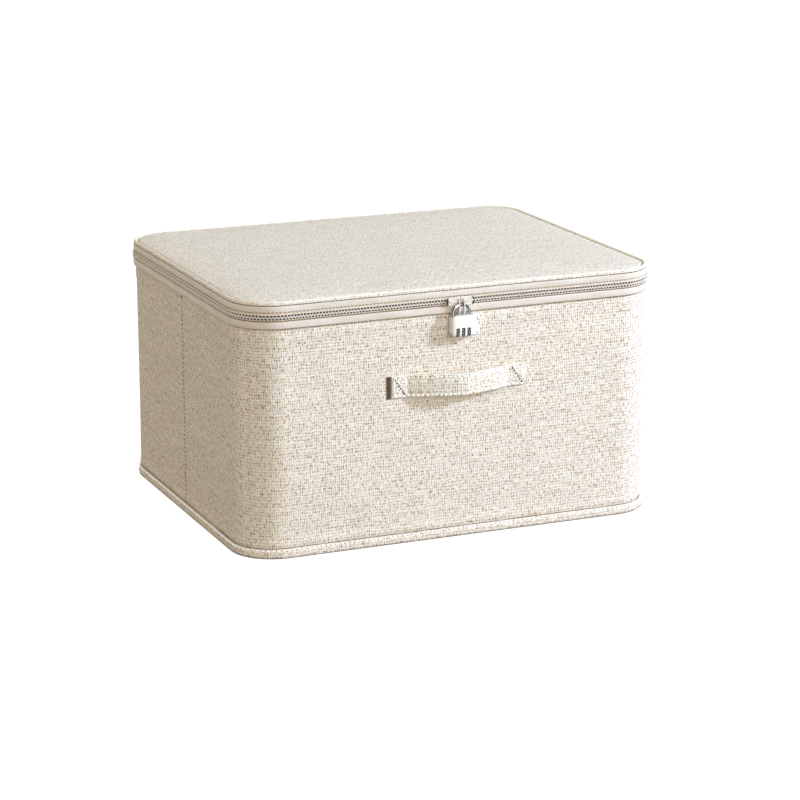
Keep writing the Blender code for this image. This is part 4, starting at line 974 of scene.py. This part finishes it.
strap_span = (-HANDLE_HALF, HANDLE_HALF)
strap = strip("handle_cloth_strap", strap_profile(), strap_span, 0.0012, strap_warp, handle_plan, 70)
dress(strap, LINEN_STRAP, "box", "linen", "handle_strap")


def strap_stitches(name, rows, length, radius, pitch, outset):
    """Stitches on the strap along rows from one (along, height) to another."""
    centres, ahead, up = [], [], []
    for start, end in rows:
        spots, directions = line_row(start, end, pitch)
        for (u, z), (du, dz) in zip(spots, directions):
            x, y, nx, ny = (float(v[0]) for v in handle_plan([u]))
            along = Vector((-ny, nx, 0)) * du + Vector((0, 0, dz))
            centres.append((x + nx * outset, y + ny * outset, z))
            ahead.append(along.normalized())
            up.append((nx, ny, 0))
    return copies(name, *stitch_shape(length, radius), centres, ahead, up)


low_row, high_row = HANDLE_Z - ROW, HANDLE_Z + ROW
long_half = HANDLE_HALF - 0.0015
long_rows = [((-long_half, z), (long_half, z)) for z in (low_row, high_row)]
box_rows, shaded_rows = [], []
for side in (-1, 1):
    for end in (INNER_END, OUTER_END):
        box_rows.append(((side * end, low_row), (side * end, high_row)))
    left, right = sorted((side * INNER_END, side * OUTER_END))
    box_rows.append(((left, low_row), (right, high_row)))
    shaded_rows.append(((left, high_row), (right, low_row)))

# The second diagonal of each box of stitches is drawn in dark thread: painted shade on that diagonal.
for name, rows, sizes, thread in (
    ("strap_edge_stitches", long_rows, (0.0034, 0.00066, 0.0050, 0.0028), GLOSSY_THREAD),
    ("strap_crossed_stitches", box_rows, (0.0029, 0.00058, 0.0042, 0.0030), GLOSSY_THREAD),
    ("strap_shaded_diagonal_stitches", shaded_rows, (0.0032, 0.00068, 0.0038, 0.0031), DARK_THREAD_AND_SHADE),
):
    dress(strap_stitches(name, rows, *sizes), thread, "box", "linen")

# Painted shade at the left end of the strap: a near-black patch on the cover, crossed by rows of brown thread
# that darken it further
slit_low, slit_high = HANDLE_Z - 0.0122, HANDLE_Z + 0.0122
slit = strip("strap_end_shade_patch", [
    (0.0000, slit_low), (0.0006, slit_low), (0.0009, slit_low + 0.001),
    (0.0009, slit_high - 0.001), (0.0006, slit_high), (0.0000, slit_high),
], (-HANDLE_HALF - 0.0044, -HANDLE_HALF - 0.0014), 0.001, None, handle_plan)
dress(slit, NEAR_BLACK_SHADE, "box", "linen")
tack_heights = np.arange(slit_low - 0.0004, slit_high + 0.0008, 0.00135)
tack_rows = [((-HANDLE_HALF - 0.0060, z), (-HANDLE_HALF - 0.0004, z)) for z in tack_heights]
tacks = strap_stitches("strap_end_shade_tacks", tack_rows, 0.0056, 0.00050, 0.0112, 0.0005)
dress(tacks, BROWN_SHADE_THREAD, "box", "linen")


# Hard parts keep their own shapes and get their own finishes

restyle(SHEET, "front_wall_sheet", "rear_wall_sheet", "lid_side_wall")
restyle(BOARD, "base_board", "lid_board")
restyle(ENAMEL, "lock_back_cover")
restyle(LACQUER, "left_slider", "right_slider", "left_pull", "right_pull")
restyle(CHROME, "shackle")
restyle(STEEL, "dial_axle", "detent_spring", "latch_plate", "shackle_spring", "reset_pin")
restyle(DIAL, "dial_1", "dial_2", "dial_3")


# Padlock case: the frame's own case with its outer edges rounded further

# Corners of the case seen from the front, each with x, height and radius
CASE_OUTLINE = [
    (-0.0125, 0.23186, 0.0060), (0.0210, 0.23186, 0.0040), (0.0210, 0.24086, 0.0120),
    (0.0147, 0.25646, 0.0042), (-0.0125, 0.25646, 0.0042),
]


def case_outline(inset):
    """The case seen from the front, drawn in by an inset, with round corners."""
    corners = [Vector((x, z)) for x, z, _ in CASE_OUTLINE]
    points = []
    for index, corner in enumerate(corners):
        radius = max(0.0, CASE_OUTLINE[index][2] - inset)
        into = (corner - corners[index - 1]).normalized()
        out_of = (corners[(index + 1) % len(corners)] - corner).normalized()
        first, second = Vector((into.y, -into.x)), Vector((out_of.y, -out_of.x))
        middle = corner - (first + second) * ((inset + radius) / (1 + first.dot(second)))
        begin = math.atan2(first.y, first.x)
        turn = first.angle(second)
        for step in range(9):
            angle = begin + turn * step / 8
            points.append(middle + radius * Vector((math.cos(angle), math.sin(angle))))
    return points


def rounded_case():
    """Envelope with deep round edges, met with the frame's case so that its slots and bores stay."""
    low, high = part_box("lock_case")
    radius = 0.0038
    layers = []
    for step in range(7):
        angle = math.pi / 2 * step / 6
        layers.append((radius * (1 - math.sin(angle)), low.y + radius * (1 - math.cos(angle))))
    layers += [(0.0, high.y + 0.001)]
    bm = bmesh.new()
    rings = [[bm.verts.new((p.x, depth, p.y)) for p in case_outline(inset)] for inset, depth in layers]
    for outer, inner in zip(rings, rings[1:]):
        for index, vert in enumerate(outer):
            n = (index + 1) % len(outer)
            bm.faces.new((vert, outer[n], inner[n], inner[index]))
    bm.faces.new(rings[0])
    bm.faces.new(rings[-1])
    bmesh.ops.recalc_face_normals(bm, faces=bm.faces)
    mesh = bpy.data.meshes.new("case_envelope")
    bm.to_mesh(mesh)
    bm.free()
    envelope = bpy.data.objects.new("case_envelope", mesh)
    scene.collection.objects.link(envelope)
    shell = bpy.data.objects.new("rounded_lock_case", nodes["lock_case"].data.copy())
    scene.collection.objects.link(shell)
    weld = shell.modifiers.new("weld", "WELD")
    weld.merge_threshold = 1e-6
    meet = shell.modifiers.new("meet", "BOOLEAN")
    meet.operation, meet.solver, meet.object = "INTERSECT", "MANIFOLD", envelope
    met = shell.evaluated_get(bpy.context.evaluated_depsgraph_get())
    made = bpy.data.meshes.new_from_object(met)
    shell.modifiers.clear()
    shell.data = made
    shell.data.materials.clear()
    made.shade_smooth()
    made.set_sharp_from_angle(angle=math.radians(28))
    bpy.data.objects.remove(envelope)
    return shell


dress(rounded_case(), ENAMEL, "lock_case", "enamelled_zinc", "lock_case")


# Figures 0 to 9 round each dial

def figures(name, dial):
    """Raised figures round a dial, a tenth of a turn apart."""
    low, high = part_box(dial)
    centre = (low + high) / 2
    radius = (high.z - low.z) / 2
    bm = bmesh.new()
    for value in range(10):
        text = bpy.data.curves.new("figure", "FONT")
        text.body = str(value)
        text.size = 0.0027
        text.extrude = 0.00010
        text.align_x, text.align_y = "CENTER", "CENTER"
        text.resolution_u = 3
        holder = bpy.data.objects.new("figure", text)
        made = bpy.data.meshes.new_from_object(holder)
        turn = Matrix.Translation(centre) @ Matrix.Rotation(math.radians(36 * value), 4, "X")
        upright = Matrix.Rotation(math.radians(90), 4, "X")
        made.transform(turn @ Matrix.Translation((0, -radius, 0)) @ upright)
        bm.from_mesh(made)
        bpy.data.objects.remove(holder)
        bpy.data.meshes.remove(made)
    bmesh.ops.remove_doubles(bm, verts=bm.verts, dist=1e-7)
    mesh = bpy.data.meshes.new(name)
    bm.to_mesh(mesh)
    bm.free()
    obj = bpy.data.objects.new(name, mesh)
    scene.collection.objects.link(obj)
    return obj


for dial in ("dial_1", "dial_2", "dial_3"):
    dress(figures(dial + "_figures", dial), FIGURES, dial, "dial_plastic")

# Floor, world and light

floor_mesh = bpy.data.meshes.new("floor")
floor_corners = [(x, y, -0.0002) for x, y in ((-6, -6), (6, -6), (6, 9), (-6, 9))]
floor_mesh.from_pydata(floor_corners, [], [(0, 1, 2, 3)])
floor = bpy.data.objects.new("floor", floor_mesh)
scene.collection.objects.link(floor)


def seen_directly(tree):
    """1 for what the camera sees, also in a mirror or through glass."""
    path = add(tree, "LightPath").outputs
    either = math_node(tree, "MAXIMUM", path["Is Camera Ray"], path["Is Glossy Ray"])
    return math_node(tree, "MAXIMUM", either, path["Is Transmission Ray"])


paper, tree, shader = material("white_paper_floor", Roughness=0.9, Specular_IOR_Level=0.1)
grain = noise(tree, solid_place(tree), (40, 40, 40), 0.0, 3.0)
tree.links.new(blended(tree, grain, linear("8A8A8A"), linear("8C8C8C")), shader.inputs["Base Color"])
share = math_node(tree, "MULTIPLY", seen_directly(tree), 0.88)
glow = add(tree, "Emission", {"Color": (1, 1, 1, 1), "Strength": share})
both = add(tree, "AddShader", {0: shader.outputs[0], 1: glow.outputs[0]})
tree.links.new(both.outputs[0], tree.nodes["Material Output"].inputs["Surface"])
floor_mesh.materials.append(paper)

world = bpy.data.worlds.new("studio")
scene.world = world
world.use_nodes = True
sky = world.node_tree
background = sky.nodes["Background"]
direction = add(sky, "SeparateXYZ", {0: add(sky, "TexCoord").outputs["Generated"]})
raised = spread(sky, direction.outputs[2], 0.15, 0.85)
horizon, overhead = (0.65, 0.555, 0.415, 1), (0.52, 0.52, 0.50, 1)
sky.links.new(blended(sky, raised, horizon, overhead), background.inputs["Color"])
white = add(sky, "Background", {"Color": (1, 1, 1, 1), "Strength": 1.0})
mixed = add(sky, "MixShader", {0: seen_directly(sky), 1: background.outputs[0], 2: white.outputs[0]})
sky.links.new(mixed.outputs[0], sky.nodes["World Output"].inputs["Surface"])


def area_light(name, azimuth, elevation, distance, size, power, colour):
    """Soft lamp that faces the box; azimuth is counted to the right of the front."""
    a, e = math.radians(azimuth), math.radians(elevation)
    lamp = bpy.data.lights.new(name, "AREA")
    lamp.shape = "DISK"
    lamp.size = size
    lamp.energy = power
    lamp.color = colour
    obj = bpy.data.objects.new(name, lamp)
    scene.collection.objects.link(obj)
    back = Vector((math.sin(a) * math.cos(e), -math.cos(a) * math.cos(e), math.sin(e)))
    obj.location = Vector((0, 0, 0.15)) + back * distance
    obj.rotation_euler = back.to_track_quat("Z", "Y").to_euler()


area_light("key", 57, 24, 3.2, 0.45, 100, (0.64, 0.78, 1.0))
area_light("front_softbox", 2, 18, 3.2, 0.9, 24, (1.0, 0.93, 0.83))
area_light("left_fill", -112, 14, 3.2, 1.0, 9, (1.0, 0.86, 0.66))

scene.view_settings.view_transform = "Standard"
